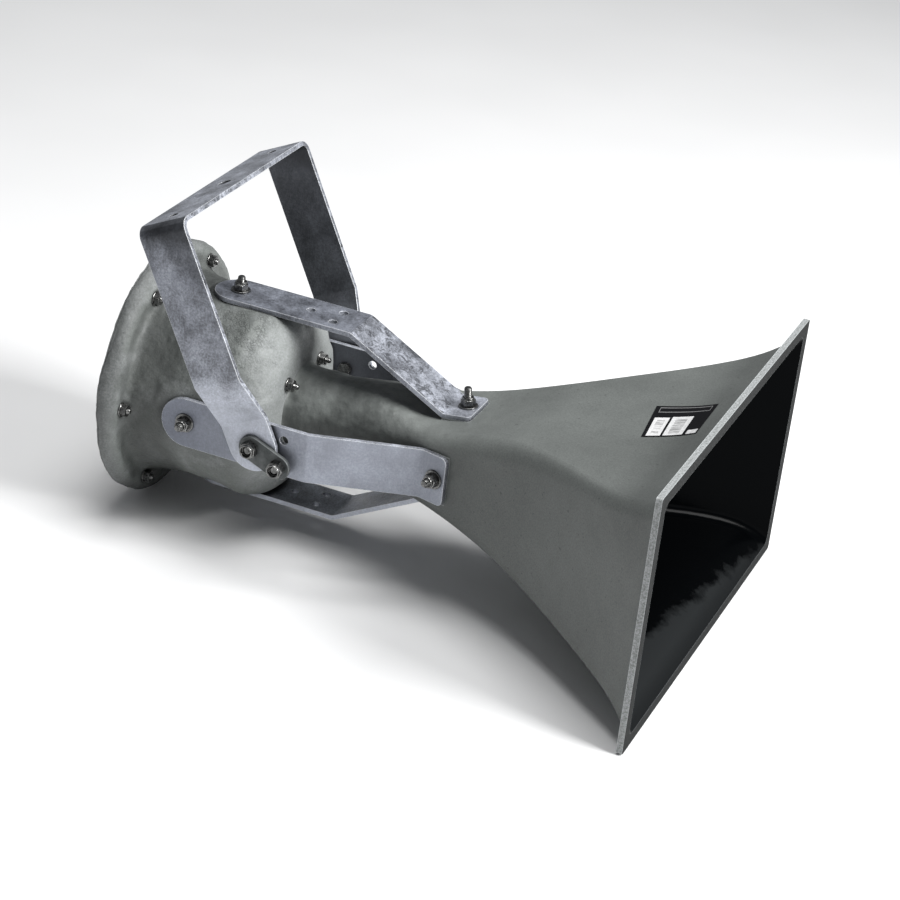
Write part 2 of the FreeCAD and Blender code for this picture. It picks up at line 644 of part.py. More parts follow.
def make_rear_cover():
    body = new_body("rear_cover_body")
    front = SHELL_BACK + " + gasket_thickness"
    back = COVER_FLANGE_BACK
    revolve(body, "cover", [
        ("0", COVER_BACK),
        ("cover_dome_radius - cover_dome_depth", COVER_BACK, "cover_dome_depth"),
        ("cover_dome_radius", back),
        ("housing_flange_radius - flange_rounding", back, "flange_rounding"),
        ("housing_flange_radius", back + " - flange_rounding"),
        ("housing_flange_radius", front),
        ("cover_dome_radius - cover_wall", front),
        ("cover_dome_radius - cover_wall", COVER_BACK + " - cover_dome_depth",
         "-(cover_dome_depth - cover_wall)"),
        ("cover_dome_radius - cover_dome_depth", COVER_BACK + " - cover_wall"),
        ("0", COVER_BACK + " - cover_wall"),
    ])
    around(body, [flange_holes(body, front + " - over")], 6, "cover_holes")
    gland = new_sketch(body, "XZ_Plane", "gland_hole", "-(%s + over)" % COVER_BACK)
    circle(gland, "0", "-gland_drop", "gland_radius + gland_room")
    pocket(body, gland, "gland_hole_cut", "cover_wall + 2*over", reverse=True)
    return node("rear_cover", body)


# Straps: four bent flat bars that tie the horn to the housing


def near(chosen, first, second):
    """A test for edges whose middle lies at two distances, seen along one axis."""
    def test(edge):
        middle = middle_of(edge)
        place = {"X": (middle.y, middle.z), "Y": (abs(middle.x), middle.z)}[chosen]
        return abs(place[0] - value(first)) < 0.05 and abs(place[1] - value(second)) < 0.05
    return test


def either(*tests):
    return lambda edge: any(test(edge) for test in tests)


def make_strap(side):
    label = "strap_" + side
    body = new_body(label + "_bar")
    back, front = pad_name(side) + "_back", pad_name(side) + "_front"
    steep = "atan((flat_distance - %s)/(strap_bend_back - strap_bend_front))" % back
    slope = pad_slope(side)
    rise = "strap_thickness/(1 + cos(%s + %s))" % (steep, slope)
    inner_back = ("strap_bend_back", "flat_distance")
    outer_back = ("strap_bend_back - strap_thickness*tan(%s/2)" % steep, "flat_distance + strap_thickness")
    inner_front = ("strap_bend_front", back)
    outer_front = ("strap_bend_front + (sin(%s) - sin(%s))*%s" % (slope, steep, rise),
                   "%s + (cos(%s) + cos(%s))*%s" % (back, slope, steep, rise))
    profile = new_sketch(body, "YZ_Plane", label + "_profile")
    outline(profile, [
        ("strap_bolt_back", "flat_distance"), inner_back, inner_front, ("strap_front", front),
        ("strap_front + strap_thickness*sin(%s)" % slope, "%s + strap_thickness*cos(%s)" % (front, slope)),
        outer_front, outer_back, ("strap_bolt_back", "flat_distance + strap_thickness"),
    ])
    pad(body, profile, label + "_pad", "strap_width", midplane=True)
    end = new_sketch(body, "XY_Plane", label + "_end", "flat_distance")
    circle(end, "0", "strap_bolt_back", "strap_width/2")
    pad(body, end, label + "_round_end", "strap_thickness")
    round_edges(body, label + "_inside_bends", "strap_bend_radius",
                either(near("X", *inner_back), near("X", *outer_front)))
    round_edges(body, label + "_outside_bends", "strap_bend_radius + strap_thickness",
                either(near("X", *outer_back), near("X", *inner_front)))
    round_edges(body, label + "_corners", "strap_end_corner", lambda edge: (
        abs(abs(middle_of(edge).x) - value("strap_width/2")) < 0.01
        and middle_of(edge).y < value("strap_front") + 3 and edge.Length < value("strap_thickness") + 0.1))
    holes = new_sketch(body, "XY_Plane", label + "_holes", "flat_distance + strap_thickness + over")
    for across, along in (("0", "strap_bolt_back"), ("0", "pivot_back"),
                          ("lock_hole_offset", "lock_hole_back"), ("-lock_hole_offset", "lock_hole_back")):
        circle(holes, across, along, "strap_hole_radius")
    pocket(body, holes, label + "_hole_cut", "strap_thickness + 2*over")
    lean = value(slope)
    base = Vector(0, value("strap_bolt_front"), value(PAD_MIDDLE.format(pad_name(side))))
    place = facing(base, OUT["top"], lean)
    place.Base = place.Base - place.Rotation.multVec(Vector(0, 0, value("over")))
    tool = cylinder(label + "_front_hole", "strap_hole_radius", "strap_thickness + 2*over", place)
    strap = cut(label + "_drilled", body, [tool])
    quarter = {"top": 0, "right": 90, "bottom": 180, "left": 270}[side]
    strap.Placement.Rotation = Rotation(Vector(0, 1, 0), quarter)
    return node(label, strap)


# Yoke: one bent flat bar that tilts about the two pivot bolts


def make_yoke():
    body = new_body("yoke_bar")
    splay = "atan((yoke_width/2 - (%s))/(yoke_splay_end - yoke_pad_end))" % YOKE_OUTSIDE
    lift = "yoke_thickness*tan(%s/2)" % splay
    low = (YOKE_OUTSIDE, "yoke_pad_end")
    low_inside = (YOKE_INSIDE, "yoke_pad_end + " + lift)
    high = ("yoke_width/2", "yoke_splay_end")
    high_inside = ("yoke_width/2 - yoke_thickness", "yoke_splay_end + " + lift)
    top = ("yoke_width/2", "yoke_height")
    top_inside = ("yoke_width/2 - yoke_thickness", "yoke_height - yoke_thickness")
    right = [(YOKE_OUTSIDE, "0"), low, high, top]
    right_inside = [top_inside, high_inside, low_inside, (YOKE_INSIDE, "0")]

    def mirrored(points):
        return [("-(%s)" % x, z) for x, z in reversed(points)]

    profile = new_sketch(body, "XZ_Plane", "yoke_profile")
    outline(profile, right + mirrored(right) + mirrored(right_inside) + right_inside)
    pad(body, profile, "yoke_strip", "yoke_bar_width", midplane=True)
    for name, at in (("yoke_end_right", YOKE_INSIDE), ("yoke_end_left", "-(%s)" % YOKE_OUTSIDE)):
        end = new_sketch(body, "YZ_Plane", name, at)
        circle(end, "0", "0", "yoke_bar_width/2")
        pad(body, end, name + "_pad", "yoke_thickness")
    round_edges(body, "yoke_inside_bends", "yoke_bend_radius",
                either(near("Y", *low), near("Y", *high_inside), near("Y", *top_inside)))
    round_edges(body, "yoke_outside_bends", "yoke_bend_radius + yoke_thickness",
                either(near("Y", *low_inside), near("Y", *high), near("Y", *top)))
    pivots = new_sketch(body, "YZ_Plane", "yoke_pivot_holes")
    circle(pivots, "0", "0", "pivot_hole_radius")
    pocket(body, pivots, "yoke_pivot_cut", "yoke_width + 2*over", midplane=True)
    fixings = new_sketch(body, "XY_Plane", "yoke_top_holes", "yoke_height + over")
    circle(fixings, "0", "0", "yoke_centre_hole_radius")
    circle(fixings, "yoke_side_hole_offset", "0", "yoke_side_hole_radius")
    circle(fixings, "-yoke_side_hole_offset", "0", "yoke_side_hole_radius")
    pocket(body, fixings, "yoke_top_cut", "yoke_thickness + 2*over")
    body.Placement.Rotation = Rotation(Vector(-1, 0, 0), value("yoke_lean"))
    return node("yoke", body, back="pivot_back")


# Fasteners: hexagon heads, nuts and washers along a placement's Z axis


def moved(place, distance):
    """The same placement, some way along its own Z axis."""
    return Placement(place.Base + place.Rotation.multVec(Vector(0, 0, value(distance))), place.Rotation)


def prism(name, place, flats, height):
    tool = doc.addObject("Part::Prism", name)
    tool.Polygon = 6
    bind(tool, Circumradius="(%s)/sqrt(3)" % flats, Height=height)
    tool.Placement = place
    return tool


def bolt(name, place, radius, length, flats, head):
    """A bolt whose head sits on a placement's origin and whose shank runs along its Z axis."""
    cap = prism(name + "_head", moved(place, "-(%s)" % head), flats, head)
    shank = cylinder(name + "_shank", radius, "%s + (%s)/2" % (length, head), moved(place, "-(%s)/2" % head))
    return fused(name, [cap, shank])


def nut(name, place, radius, flats, height):
    bore = cylinder(name + "_bore", "%s + thread_room" % radius, "%s + 2*over" % height,
                    moved(place, "-over"))
    return cut(name, prism(name + "_hexagon", place, flats, height), [bore])


def ring(name, place, outside, inside, height):
    bore = cylinder(name + "_bore", inside, "%s + 2*over" % height, moved(place, "-over"))
    return cut(name, cylinder(name + "_disc", outside, height, place), [bore])


def make_fasteners(label, places, make):
    """One node for a set of like fasteners: make(name, place) draws one of them."""
    members = [make("%s_%d" % (label, i), place) for i, place in enumerate(places, 1)]
    node(label, group(label + "_group", members))


def strap_places(along, distance, sides, across="0"):
    """Placements on the straps, facing outwards at a distance from the axis."""
    drop = value(across)
    return [facing(OUT[side] * value(distance) + Vector(0, value(along), drop), OUT[side]) for side in sides]


def ring_places(radius, along, count, first, way):
    """Placements on a circle round the axis, facing forwards or back."""
    spots = []
    for i in range(count):
        angle = math.radians(first + 360.0 * i / count)
        across, up = value(radius) * math.cos(angle), value(radius) * math.sin(angle)
        spots.append(facing(Vector(across, value(along), up), Vector(0, way, 0)))
    return spots


def make_strap_fasteners():
    stack = "strap_thickness + washer_thickness"
    length = "(%s + nut_height + stud_end)" % stack
    wall = "(flat_distance - housing_inside_radius - spot_depth)"
    back = strap_places("strap_bolt_back", "flat_distance", OUT)
    front = [pad_facing(side) for side in OUT]
    for label, places, inside in (("strap_rear", back, wall), ("strap_front", front, "bolt_wall")):
        make_fasteners(label + "_bolts", places, lambda name, place: bolt(
            name, moved(place, "-" + inside), "bolt_radius", "(%s + %s)" % (length, inside),
            "nut_flats", "bolt_head_height"))
        make_fasteners(label + "_washers", places, lambda name, place: ring(
            name, moved(place, "strap_thickness"), "washer_radius", "strap_hole_radius", "washer_thickness"))
        make_fasteners(label + "_nuts", places, lambda name, place: nut(
            name, moved(place, stack), "bolt_radius", "nut_flats", "nut_height"))


def make_pivot_fasteners():
    sides = ("left", "right")
    link = YOKE_OUTSIDE + " - flat_distance + link_thickness"
    length = "(%s + nut_height + pivot_stud_end)" % link
    pivot = strap_places("pivot_back", "flat_distance", sides)
    lock = strap_places("lock_hole_back", "flat_distance", sides, "-lock_hole_offset")
    for label, places in (("pivot", pivot), ("lock", lock)):
        make_fasteners(label + "_bolts", places, lambda name, place: bolt(
            name, place, "bolt_radius", length, "nut_flats", "bolt_head_height"))
        make_fasteners(label + "_nuts", places, lambda name, place: nut(
            name, moved(place, link), "bolt_radius", "nut_flats", "nut_height"))
    make_fasteners("pivot_washers", pivot, lambda name, place: ring(
        name, moved(place, "strap_thickness"), "washer_radius", "strap_hole_radius", "pivot_washer"))
    make_fasteners("lock_spacers", lock, lambda name, place: ring(
        name, moved(place, "strap_thickness"), "spacer_radius", "strap_hole_radius",
        "(pivot_washer + yoke_thickness)"))


def make_link_plates():
    turn = math.degrees(math.atan2(value("lock_hole_offset"), value("pivot_back - lock_hole_back")))
    reach = "sqrt((pivot_back - lock_hole_back)^2 + lock_hole_offset^2)"
    for side, start in (("left", "-(%s + link_thickness)" % YOKE_OUTSIDE), ("right", YOKE_OUTSIDE)):
        body = new_body("link_%s_body" % side)
        sketch = new_sketch(body, "YZ_Plane", "link_%s_outline" % side, start)
        outline(sketch, [
            ("0", "link_width/2", "-link_width/2"), ("-link_width/2", "0", "-link_width/2"),
            ("0", "-link_width/2"), (reach, "-link_width/2", "-link_width/2"),
            (reach + " + link_width/2", "0", "-link_width/2"),
            (reach, "link_width/2")])
        pad(body, sketch, "link_%s_pad" % side, "link_thickness")
        holes = new_sketch(body, "YZ_Plane", "link_%s_holes" % side, start)
        circle(holes, "0", "0", "strap_hole_radius")
        circle(holes, reach, "0", "strap_hole_radius")
        pocket(body, holes, "link_%s_hole_cut" % side, "link_thickness + over", reverse=True)
        body.Placement.Rotation = Rotation(Vector(1, 0, 0), 180 + turn)
        node("link_plate_" + side, body, back="pivot_back")


def make_housing_fasteners():
    grip = "(%s - housing_flange_front)" % COVER_FLANGE_BACK
    heads = ring_places("flange_bolt_circle", COVER_FLANGE_BACK, 6, 0, -1)
    length = "(%s + small_washer_thickness + small_nut_height + small_stud_end)" % grip
    make_fasteners("flange_bolts", heads, lambda name, place: bolt(
        name, place, "small_bolt_radius", length, "small_nut_flats", "small_nut_height - 1"))
    seats = ring_places("flange_bolt_circle", "housing_flange_front", 6, 0, -1)
    studs = ring_places("throat_bolt_circle", "throat_back", 4, 45, -1)
    for label, places in (("flange", seats), ("throat", studs)):
        make_fasteners(label + "_washers", places, lambda name, place: ring(
            name, place, "small_washer_radius", "small_hole_radius", "small_washer_thickness"))
        make_fasteners(label + "_nuts", places, lambda name, place: nut(
            name, moved(place, "small_washer_thickness"), "small_bolt_radius", "small_nut_flats",
            "small_nut_height"))
    root = "(housing_wall + throat_gasket + stud_depth)"
    make_fasteners("throat_studs", studs, lambda name, place: cylinder(
        name, "small_bolt_radius", root + " + small_washer_thickness + small_nut_height + throat_stud_end",
        moved(place, "-" + root)))


# Compression driver inside the housing


def make_throat_gasket():
    body = new_body("throat_gasket_body")
    revolve(body, "throat_gasket_ring", [
        ("throat_radius", GASKET_FRONT), ("driver_nose_radius", GASKET_FRONT),
        ("driver_nose_radius", NOSE_FRONT), ("throat_radius", NOSE_FRONT)])
    throat_holes(body, GASKET_FRONT + " - over", "small_hole_radius", "throat_gasket + 2*over")
    return node("throat_gasket", body)


def make_pole_piece():
    body = new_body("pole_body")
    revolve(body, "pole", [
        ("throat_radius", NOSE_FRONT),
        ("driver_nose_radius", NOSE_FRONT),
        ("driver_nose_radius", PLATE_FRONT),
        ("driver_radius", PLATE_FRONT),
        ("driver_radius", MAGNET_FRONT),
        ("pole_radius", MAGNET_FRONT),
        ("pole_radius", TOP_BACK + " - pole_drop"),
        ("plug_radius", TOP_BACK + " - pole_drop"),
        ("plug_radius", TOP_BACK + " - plug_seat"),
        ("plug_radius - plug_ledge", TOP_BACK + " - plug_seat"),
        ("throat_radius*0.8", TOP_BACK + " - phase_plug_depth"),
    ])
    throat_holes(body, NOSE_FRONT + " - over", "small_bolt_radius + thread_room", "stud_depth + over")
    return node("pole_piece", body)


def make_magnet():
    body = new_body("magnet_body")
    revolve(body, "magnet_ring", [
        ("magnet_hole_radius", MAGNET_FRONT), ("magnet_radius", MAGNET_FRONT),
        ("magnet_radius", TOP_FRONT), ("magnet_hole_radius", TOP_FRONT)])
    return node("magnet", body)


def make_top_plate():
    body = new_body("top_plate_body")
    revolve(body, "top_plate_ring", [
        ("pole_radius + coil_gap", TOP_FRONT), ("driver_radius", TOP_FRONT),
        ("driver_radius", TOP_BACK), ("pole_radius + coil_gap", TOP_BACK)])
    return node("top_plate", body)


def make_phase_plug():
    body = new_body("phase_plug_body")
    edge = "plug_radius - plug_room"
    crown = TOP_BACK + " + diaphragm_rise - dome_room"
    revolve(body, "plug", [
        ("0", TOP_BACK + " - phase_plug_depth - plug_nose"),
        ("throat_radius*0.6", TOP_BACK + " - phase_plug_depth + 2"),
        ("plug_radius - 2*plug_ledge - over", TOP_BACK + " - plug_seat"),
        (edge, TOP_BACK + " - plug_seat"),
        (edge, "%s - (%s - sqrt(%s^2 - (%s)^2))" % (crown, DOME_RADIUS, DOME_RADIUS, edge),
         "-" + DOME_RADIUS),
        ("0", crown),
    ])
    slot = new_sketch(body, "XZ_Plane", "plug_slots_start",
                      "-(%s - phase_plug_depth - plug_nose - over)" % TOP_BACK)
    rectangle(slot, "throat_radius*0.6", "plug_radius - 2*plug_ledge", "-plug_slot/2", "plug_slot/2")
    slot_cut = pocket(body, slot, "plug_slot_cut", "phase_plug_depth + plug_nose + diaphragm_rise + 2*over")
    around(body, [slot_cut], 8, "plug_slots")
    return node("phase_plug", body)


def make_voice_coil():
    body = new_body("voice_coil_body")
    inside = "pole_radius + (coil_gap - coil_thickness)/2"
    outside, front = inside + " + coil_thickness", TOP_FRONT + " - coil_overhang"
    revolve(body, "coil", [(inside, front), (outside, front), (outside, TOP_BACK), (inside, TOP_BACK)])
    return node("voice_coil", body)


def make_diaphragm():
    body = new_body("diaphragm_body")
    revolve(body, "dome", [
        ("0", TOP_BACK + " + diaphragm_rise", DOME_RADIUS), ("pole_radius", TOP_BACK),
        ("driver_radius - diaphragm_inset", TOP_BACK), ("driver_radius - diaphragm_inset", CLAMP_FRONT),
        ("pole_radius", CLAMP_FRONT, "-" + DOME_RADIUS), ("0", CLAMP_FRONT + " + diaphragm_rise")])
    return node("diaphragm", body)


def make_diaphragm_ring():
    body = new_body("diaphragm_ring_body")
    revolve(body, "clamp_ring", [
        ("pole_radius + surround_width", CLAMP_FRONT), ("driver_radius", CLAMP_FRONT),
        ("driver_radius", CAP_FRONT), ("pole_radius + surround_width", CAP_FRONT)])
    return node("diaphragm_ring", body)


def make_driver_cap():
    body = new_body("driver_cap_body")
    revolve(body, "cap", [
        ("0", CAP_BACK),
        ("driver_radius - driver_cap_wall", CAP_BACK, "driver_cap_wall"),
        ("driver_radius", CAP_BACK + " - driver_cap_wall"),
        ("driver_radius", CAP_FRONT),
        ("driver_radius - driver_cap_wall", CAP_FRONT),
        ("driver_radius - driver_cap_wall", CAP_BACK + " - driver_cap_wall"),
        ("0", CAP_BACK + " - driver_cap_wall"),
    ])
    holes = new_sketch(body, "XZ_Plane", "cap_screw_holes", "-(%s + over)" % CAP_BACK)
    for x in ("bracket_screw_offset", "-bracket_screw_offset"):
        circle(holes, x, "transformer_rise", "bracket_screw_radius + thread_room")
    pocket(body, holes, "cap_screw_cut", "driver_cap_wall + 2*over", reverse=True)
    return node("driver_cap", body)


# Line transformer and terminals behind the driver


def make_transformer_core():
    body = new_body("core_body")
    profile = new_sketch(body, "XY_Plane", "core_outline")
    rectangle(profile, "-transformer_width/2", "transformer_width/2", CAP_BACK, CORE_BACK)
    pad(body, profile, "core_stack", "transformer_depth", midplane=True)
    windows = new_sketch(body, "XY_Plane", "core_windows")
    for near_edge, far_edge in (("transformer_width/6", "transformer_width/3"),
                                ("-transformer_width/3", "-transformer_width/6")):
        rectangle(windows, near_edge, far_edge, CAP_BACK + " + transformer_width/6",
                  CORE_BACK + " - transformer_width/6")
    pocket(body, windows, "core_window_cut", "transformer_depth + 2*over", midplane=True)
    return node("transformer_core", body, rise="transformer_rise")


def make_transformer_winding():
    body = new_body("winding_body")
    front = CAP_BACK + " + transformer_width/6 + winding_room"
    length = "(%s - transformer_width/6 - winding_room) - (%s)" % (CORE_BACK, front)
    coil = new_sketch(body, "XZ_Plane", "winding_outline", "-(%s)" % front)
    rectangle(coil, "-(transformer_width/3 - winding_room)", "transformer_width/3 - winding_room",
              "-winding_depth/2", "winding_depth/2")
    pad(body, coil, "winding_block", length, reverse=True)
    leg = new_sketch(body, "XZ_Plane", "winding_leg", "-(%s - over)" % front)
    rectangle(leg, "-(transformer_width/6 + winding_room)", "transformer_width/6 + winding_room",
              "-(transformer_depth/2 + winding_room)", "transformer_depth/2 + winding_room")
    pocket(body, leg, "winding_leg_cut", length + " + 2*over")
    return node("transformer_winding", body, rise="transformer_rise")


def make_transformer_bracket():
    body = new_body("bracket_body")
    side = "transformer_width/2"
    foot = CAP_BACK + " + bracket_thickness"
    end, outside = "bracket_screw_offset + bracket_foot", side + " + bracket_thickness"
    half = [(end, CAP_BACK), (end, foot), (outside, foot), (outside, CORE_BACK + " + bracket_thickness")]
    inside = [(side, CORE_BACK), (side, CAP_BACK)]
    other = [("-(%s)" % x, y) for x, y in reversed(half)]
    other_inside = [("-(%s)" % x, y) for x, y in reversed(inside)]
    profile = new_sketch(body, "XY_Plane", "bracket_profile")
    outline(profile, half + other + other_inside + inside)
    pad(body, profile, "bracket_strip", "transformer_depth - bracket_inset", midplane=True)
    holes = new_sketch(body, "XZ_Plane", "bracket_holes", "-(%s - over)" % CAP_BACK)
    for x in ("bracket_screw_offset", "-bracket_screw_offset"):
        circle(holes, x, "0", "bracket_screw_radius + 2*thread_room")
    pocket(body, holes, "bracket_hole_cut", "bracket_thickness + 2*over")
    return node("transformer_bracket", body, rise="transformer_rise")


def make_bracket_screws():
    places = [facing(Vector(value(x), value(CAP_BACK + " + bracket_thickness"), value("transformer_rise")),
                     Vector(0, -1, 0)) for x in ("bracket_screw_offset", "-bracket_screw_offset")]
    make_fasteners("bracket_screws", places, lambda name, place: bolt(
        name, place, "bracket_screw_radius", "(bracket_thickness + driver_cap_wall)",
        "bracket_screw_radius*3.6", "bracket_screw_radius*1.2"))


def make_terminal_block():
    body = new_body("terminal_body")
    base = new_sketch(body, "XZ_Plane", "terminal_base", "-(%s)" % CAP_BACK)
    rectangle(base, "-terminal_length/2", "terminal_length/2", "-terminal_height/2", "terminal_height/2")
    pad(body, base, "terminal_pad", "terminal_height", reverse=True)
    pits = new_sketch(body, "XZ_Plane", "terminal_pits",
                      "-(%s + terminal_height - terminal_pit_depth)" % CAP_BACK)
    for i in range(4):
        circle(pits, "terminal_length*%g" % (i / 4 - 0.375), "0", "terminal_pit_radius")
    pocket(body, pits, "terminal_pit_cut", "terminal_pit_depth + over")
    return node("terminal_block", body, rise="-terminal_drop")


# Cable gland in the rear cover


def make_gland():
    body = new_body("gland_body")
    seat = COVER_BACK + " + gland_seal"
    back = COVER_BACK + " + gland_length"
    front = COVER_BACK + " - cover_wall - gland_inside_reach"
    collar = new_sketch(body, "XZ_Plane", "gland_collar", "-(%s)" % seat)
    hexagon(collar, "gland_flats")
    pad(body, collar, "gland_hexagon", "gland_length*0.3", reverse=True)
    revolve(body, "gland_stem", [
        ("0", front), ("gland_radius", front), ("gland_radius", seat + " + 1"),
        ("gland_flats*0.46", seat + " + 1"), ("gland_flats*0.46", back + " - gland_crown", "-gland_crown"),
        ("gland_flats*0.46 - gland_crown", back), ("0", back)])
    bore = new_sketch(body, "XZ_Plane", "gland_bore", "-(%s - over)" % front)
    circle(bore, "0", "0", "gland_bore_radius")
    pocket(body, bore, "gland_bore_cut", "gland_inside_reach + gland_length + cover_wall + 2*over")
    node("cable_gland", body, rise="-gland_drop")
    back_way = Vector(0, 1, 0)
    place = facing(Vector(0, value(COVER_BACK), 0), back_way)
    seal = ring("gland_seal_ring", place, "gland_flats*0.48", "gland_radius + thread_room", "gland_seal")
    node("gland_seal", seal, rise="-gland_drop")
    inner = moved(place, "-(cover_wall + gland_locknut)")
    node("gland_locknut", nut("gland_locknut_ring", inner, "gland_radius", "gland_flats", "gland_locknut"),
         rise="-gland_drop")


make_horn()
make_front_shell()
make_cover_gasket()
make_rear_cover()
for name in OUT:
    make_strap(name)
make_yoke()
make_link_plates()
make_strap_fasteners()
make_pivot_fasteners()
make_housing_fasteners()
make_throat_gasket()
make_pole_piece()
make_magnet()
make_top_plate()
make_phase_plug()
make_voice_coil()
make_diaphragm()
make_diaphragm_ring()
make_driver_cap()
make_transformer_core()
make_transformer_winding()
make_transformer_bracket()
make_bracket_screws()
make_terminal_block()
make_gland()

# Stand everything in the row frame: middle of the length, lowest point at zero
for thing, back, rise in nodes:
    bind(thing, Placement__Base__y="%s - (%s)/2" % (back, OVERALL_LENGTH),
         Placement__Base__z="housing_flange_radius + (%s)" % rise)
doc.recompute()

for feature in doc.Objects:
    if "Invalid" in feature.State or "Error" in feature.State:
        raise RuntimeError("%s does not compute" % feature.Name)
os.makedirs("parts", exist_ok=True)
for thing, back, rise in nodes:
    if thing.Shape.isNull() or not thing.Shape.isValid():
        raise RuntimeError("%s has no valid shape" % thing.Label)
    thing.Shape.exportStep("parts/%s.step" % thing.Label)
print("%d nodes" % len(nodes))
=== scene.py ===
import json
import math
import bmesh
import bpy
import numpy as np
from bpy.props import FloatProperty, FloatVectorProperty, IntProperty, PointerProperty
from mathutils import Matrix, Vector, noise
from mathutils.bvhtree import BVHTree


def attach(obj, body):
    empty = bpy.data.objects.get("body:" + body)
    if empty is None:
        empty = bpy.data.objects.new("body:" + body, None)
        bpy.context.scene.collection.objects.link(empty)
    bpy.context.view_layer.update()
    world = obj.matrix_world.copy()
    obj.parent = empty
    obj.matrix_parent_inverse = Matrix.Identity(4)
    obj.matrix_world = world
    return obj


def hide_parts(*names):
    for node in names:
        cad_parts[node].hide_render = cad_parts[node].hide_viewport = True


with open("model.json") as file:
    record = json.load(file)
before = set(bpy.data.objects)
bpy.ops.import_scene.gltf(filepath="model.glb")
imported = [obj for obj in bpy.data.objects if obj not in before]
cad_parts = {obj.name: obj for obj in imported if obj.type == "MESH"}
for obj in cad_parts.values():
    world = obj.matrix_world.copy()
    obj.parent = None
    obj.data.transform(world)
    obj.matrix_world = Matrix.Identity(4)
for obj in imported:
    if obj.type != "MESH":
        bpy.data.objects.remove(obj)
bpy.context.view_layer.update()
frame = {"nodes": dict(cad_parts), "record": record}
NODES = frame["nodes"]

bl_info = {
    "name": "Horn speaker finish",
    "version": (1, 0, 0),
    "blender": (4, 5, 0),
    "location": "View3D > Sidebar > Horn",
    "description": "Finishes the packed horn speaker: laminate, galvanised bars, hardware and studio",
    "category": "Object",
}

SPEAKER = "speaker"
HARDWARE = "zinc_hardware"
# The label's corners in millimetres, across and back from the mouth: two at the rear, then two in front
LABEL = ((-37, 79.6), (37.6, 89.8), (46.7, 33.0), (-27.9, 31.0))
FLOOR_REACH = 12
# Place in metres, size and power of each lamp
LAMPS = {"key": ((-0.15, -2.3, 1.6), 1.1, 124), "top": ((0.15, -0.1, 2.8), 1.4, 63)}
LAMP_TARGET = Vector((0, 0.1, 0.15))
# The camera's place in millimetres from the middle of the mouth, and its axes
CAMERA_PLACE = (-2125.7, -508.1, 1162.0)
CAMERA_RIGHT = Vector((0.3946, -0.9129, 0.1040))
CAMERA_FORWARD = Vector((0.8341, 0.3085, -0.4572))


# Sizes and colours that the pieces share


def length(default, description):
    return FloatProperty(name=description, description=description, default=default, unit="LENGTH",
                         precision=5)


def tint(default, description):
    return FloatVectorProperty(name=description, description=description, default=default,
                               subtype="COLOR", size=3, min=0.0, max=1.0)


class HORN_PG_sizes(bpy.types.PropertyGroup):
    """Sizes of the finished pieces, and of the camera. Places along the axis start at the mouth's front."""
    axis_height: length(0.1315, "Horn axis above the floor")
    mouth_back: length(-0.31775, "Front of the mouth along Y")
    lip_thickness: length(0.006, "Thickness of the mouth flange")
    housing_front: length(0.440, "Front of the housing")
    flange_radius: length(0.1315, "Outside of the housing's flange")
    flange_front: length(0.579, "Front of that flange")
    flange_round: length(0.0145, "Radius of that flange's front corner")
    lap_back: length(0.5975, "Where the flange's lap over the cover ends")
    shell_lump: length(0.0024, "Depth of the housing's lumps")
    cover_lump: length(0.0012, "Depth of the rear cover's lumps")
    putty: length(0.0032, "Height of the putty round the neck")
    bar_thickness: length(0.0048, "Thickness of the flat bar")
    bar_edge: length(0.0006, "Ease of the bars' edges")
    strap_distance: length(0.0982, "Inner face of the straps, from the axis")
    rear_bolt: length(0.5149, "Bolts at the straps' rear ends")
    pivot_bolt: length(0.4379, "Bolts that the yoke swings on")
    lock_bolt: length(0.4084, "Bolts that lock the yoke")
    lock_drop: length(0.01225, "Lock bolts below the axis")
    front_bolt: length(0.264, "Bolts through the straps' pads")
    pad_length: length(0.029, "Length of a pad along the axis")
    pad_bolt: length(0.017, "Bolt from the pad's rear end")
    flange_circle: length(0.113, "Circle of the flange's bolts")
    throat_circle: length(0.0508, "Circle of the throat's studs")
    strap_nut: length(0.0127, "Across the flats of the straps' nuts")
    side_nut: length(0.0151, "Across the flats of the pivot and lock nuts")
    small_nut: length(0.0111, "Across the flats of the housing's nuts")
    strap_shank: length(0.00397, "Radius of the straps' bolts")
    side_shank: length(0.0043, "Radius of the pivot and lock bolts")
    small_shank: length(0.0031, "Radius of the flange bolts and throat studs")
    lens: FloatProperty(name="Lens", description="Focal length in millimetres", default=104.878)
    noise_seed: IntProperty(name="Seed", description="Seed of every scatter", default=7)


class HORN_PG_colours(bpy.types.PropertyGroup):
    """Colours at full level. Each finish takes them darker, by its own levels."""
    gelcoat: tint((0.932, 1.0, 0.955), "Gelcoat")
    # The pale end of the speckles: rubbed gelcoat on worn rims and patches, and painted light on the
    # housing's front.
    rubbed: tint((0.947, 0.977, 1.0), "Gelcoat rubbed pale")
    zinc: tint((0.847, 0.889, 1.0), "Zinc coat")


def sizes():
    return bpy.context.scene.horn_sizes


def mm(name):
    """A shared size in millimetres."""
    return getattr(sizes(), name) * 1000


def at(x, y, z):
    """A point given in millimetres from the middle of the mouth, in the row frame in metres."""
    s = sizes()
    return Vector((x / 1000, y / 1000 + s.mouth_back, z / 1000 + s.axis_height))


def shade(name, level):
    """One of the shared colours at a level."""
    return tuple(level * part for part in getattr(bpy.context.scene.horn_colours, name)) + (1,)


# Node materials


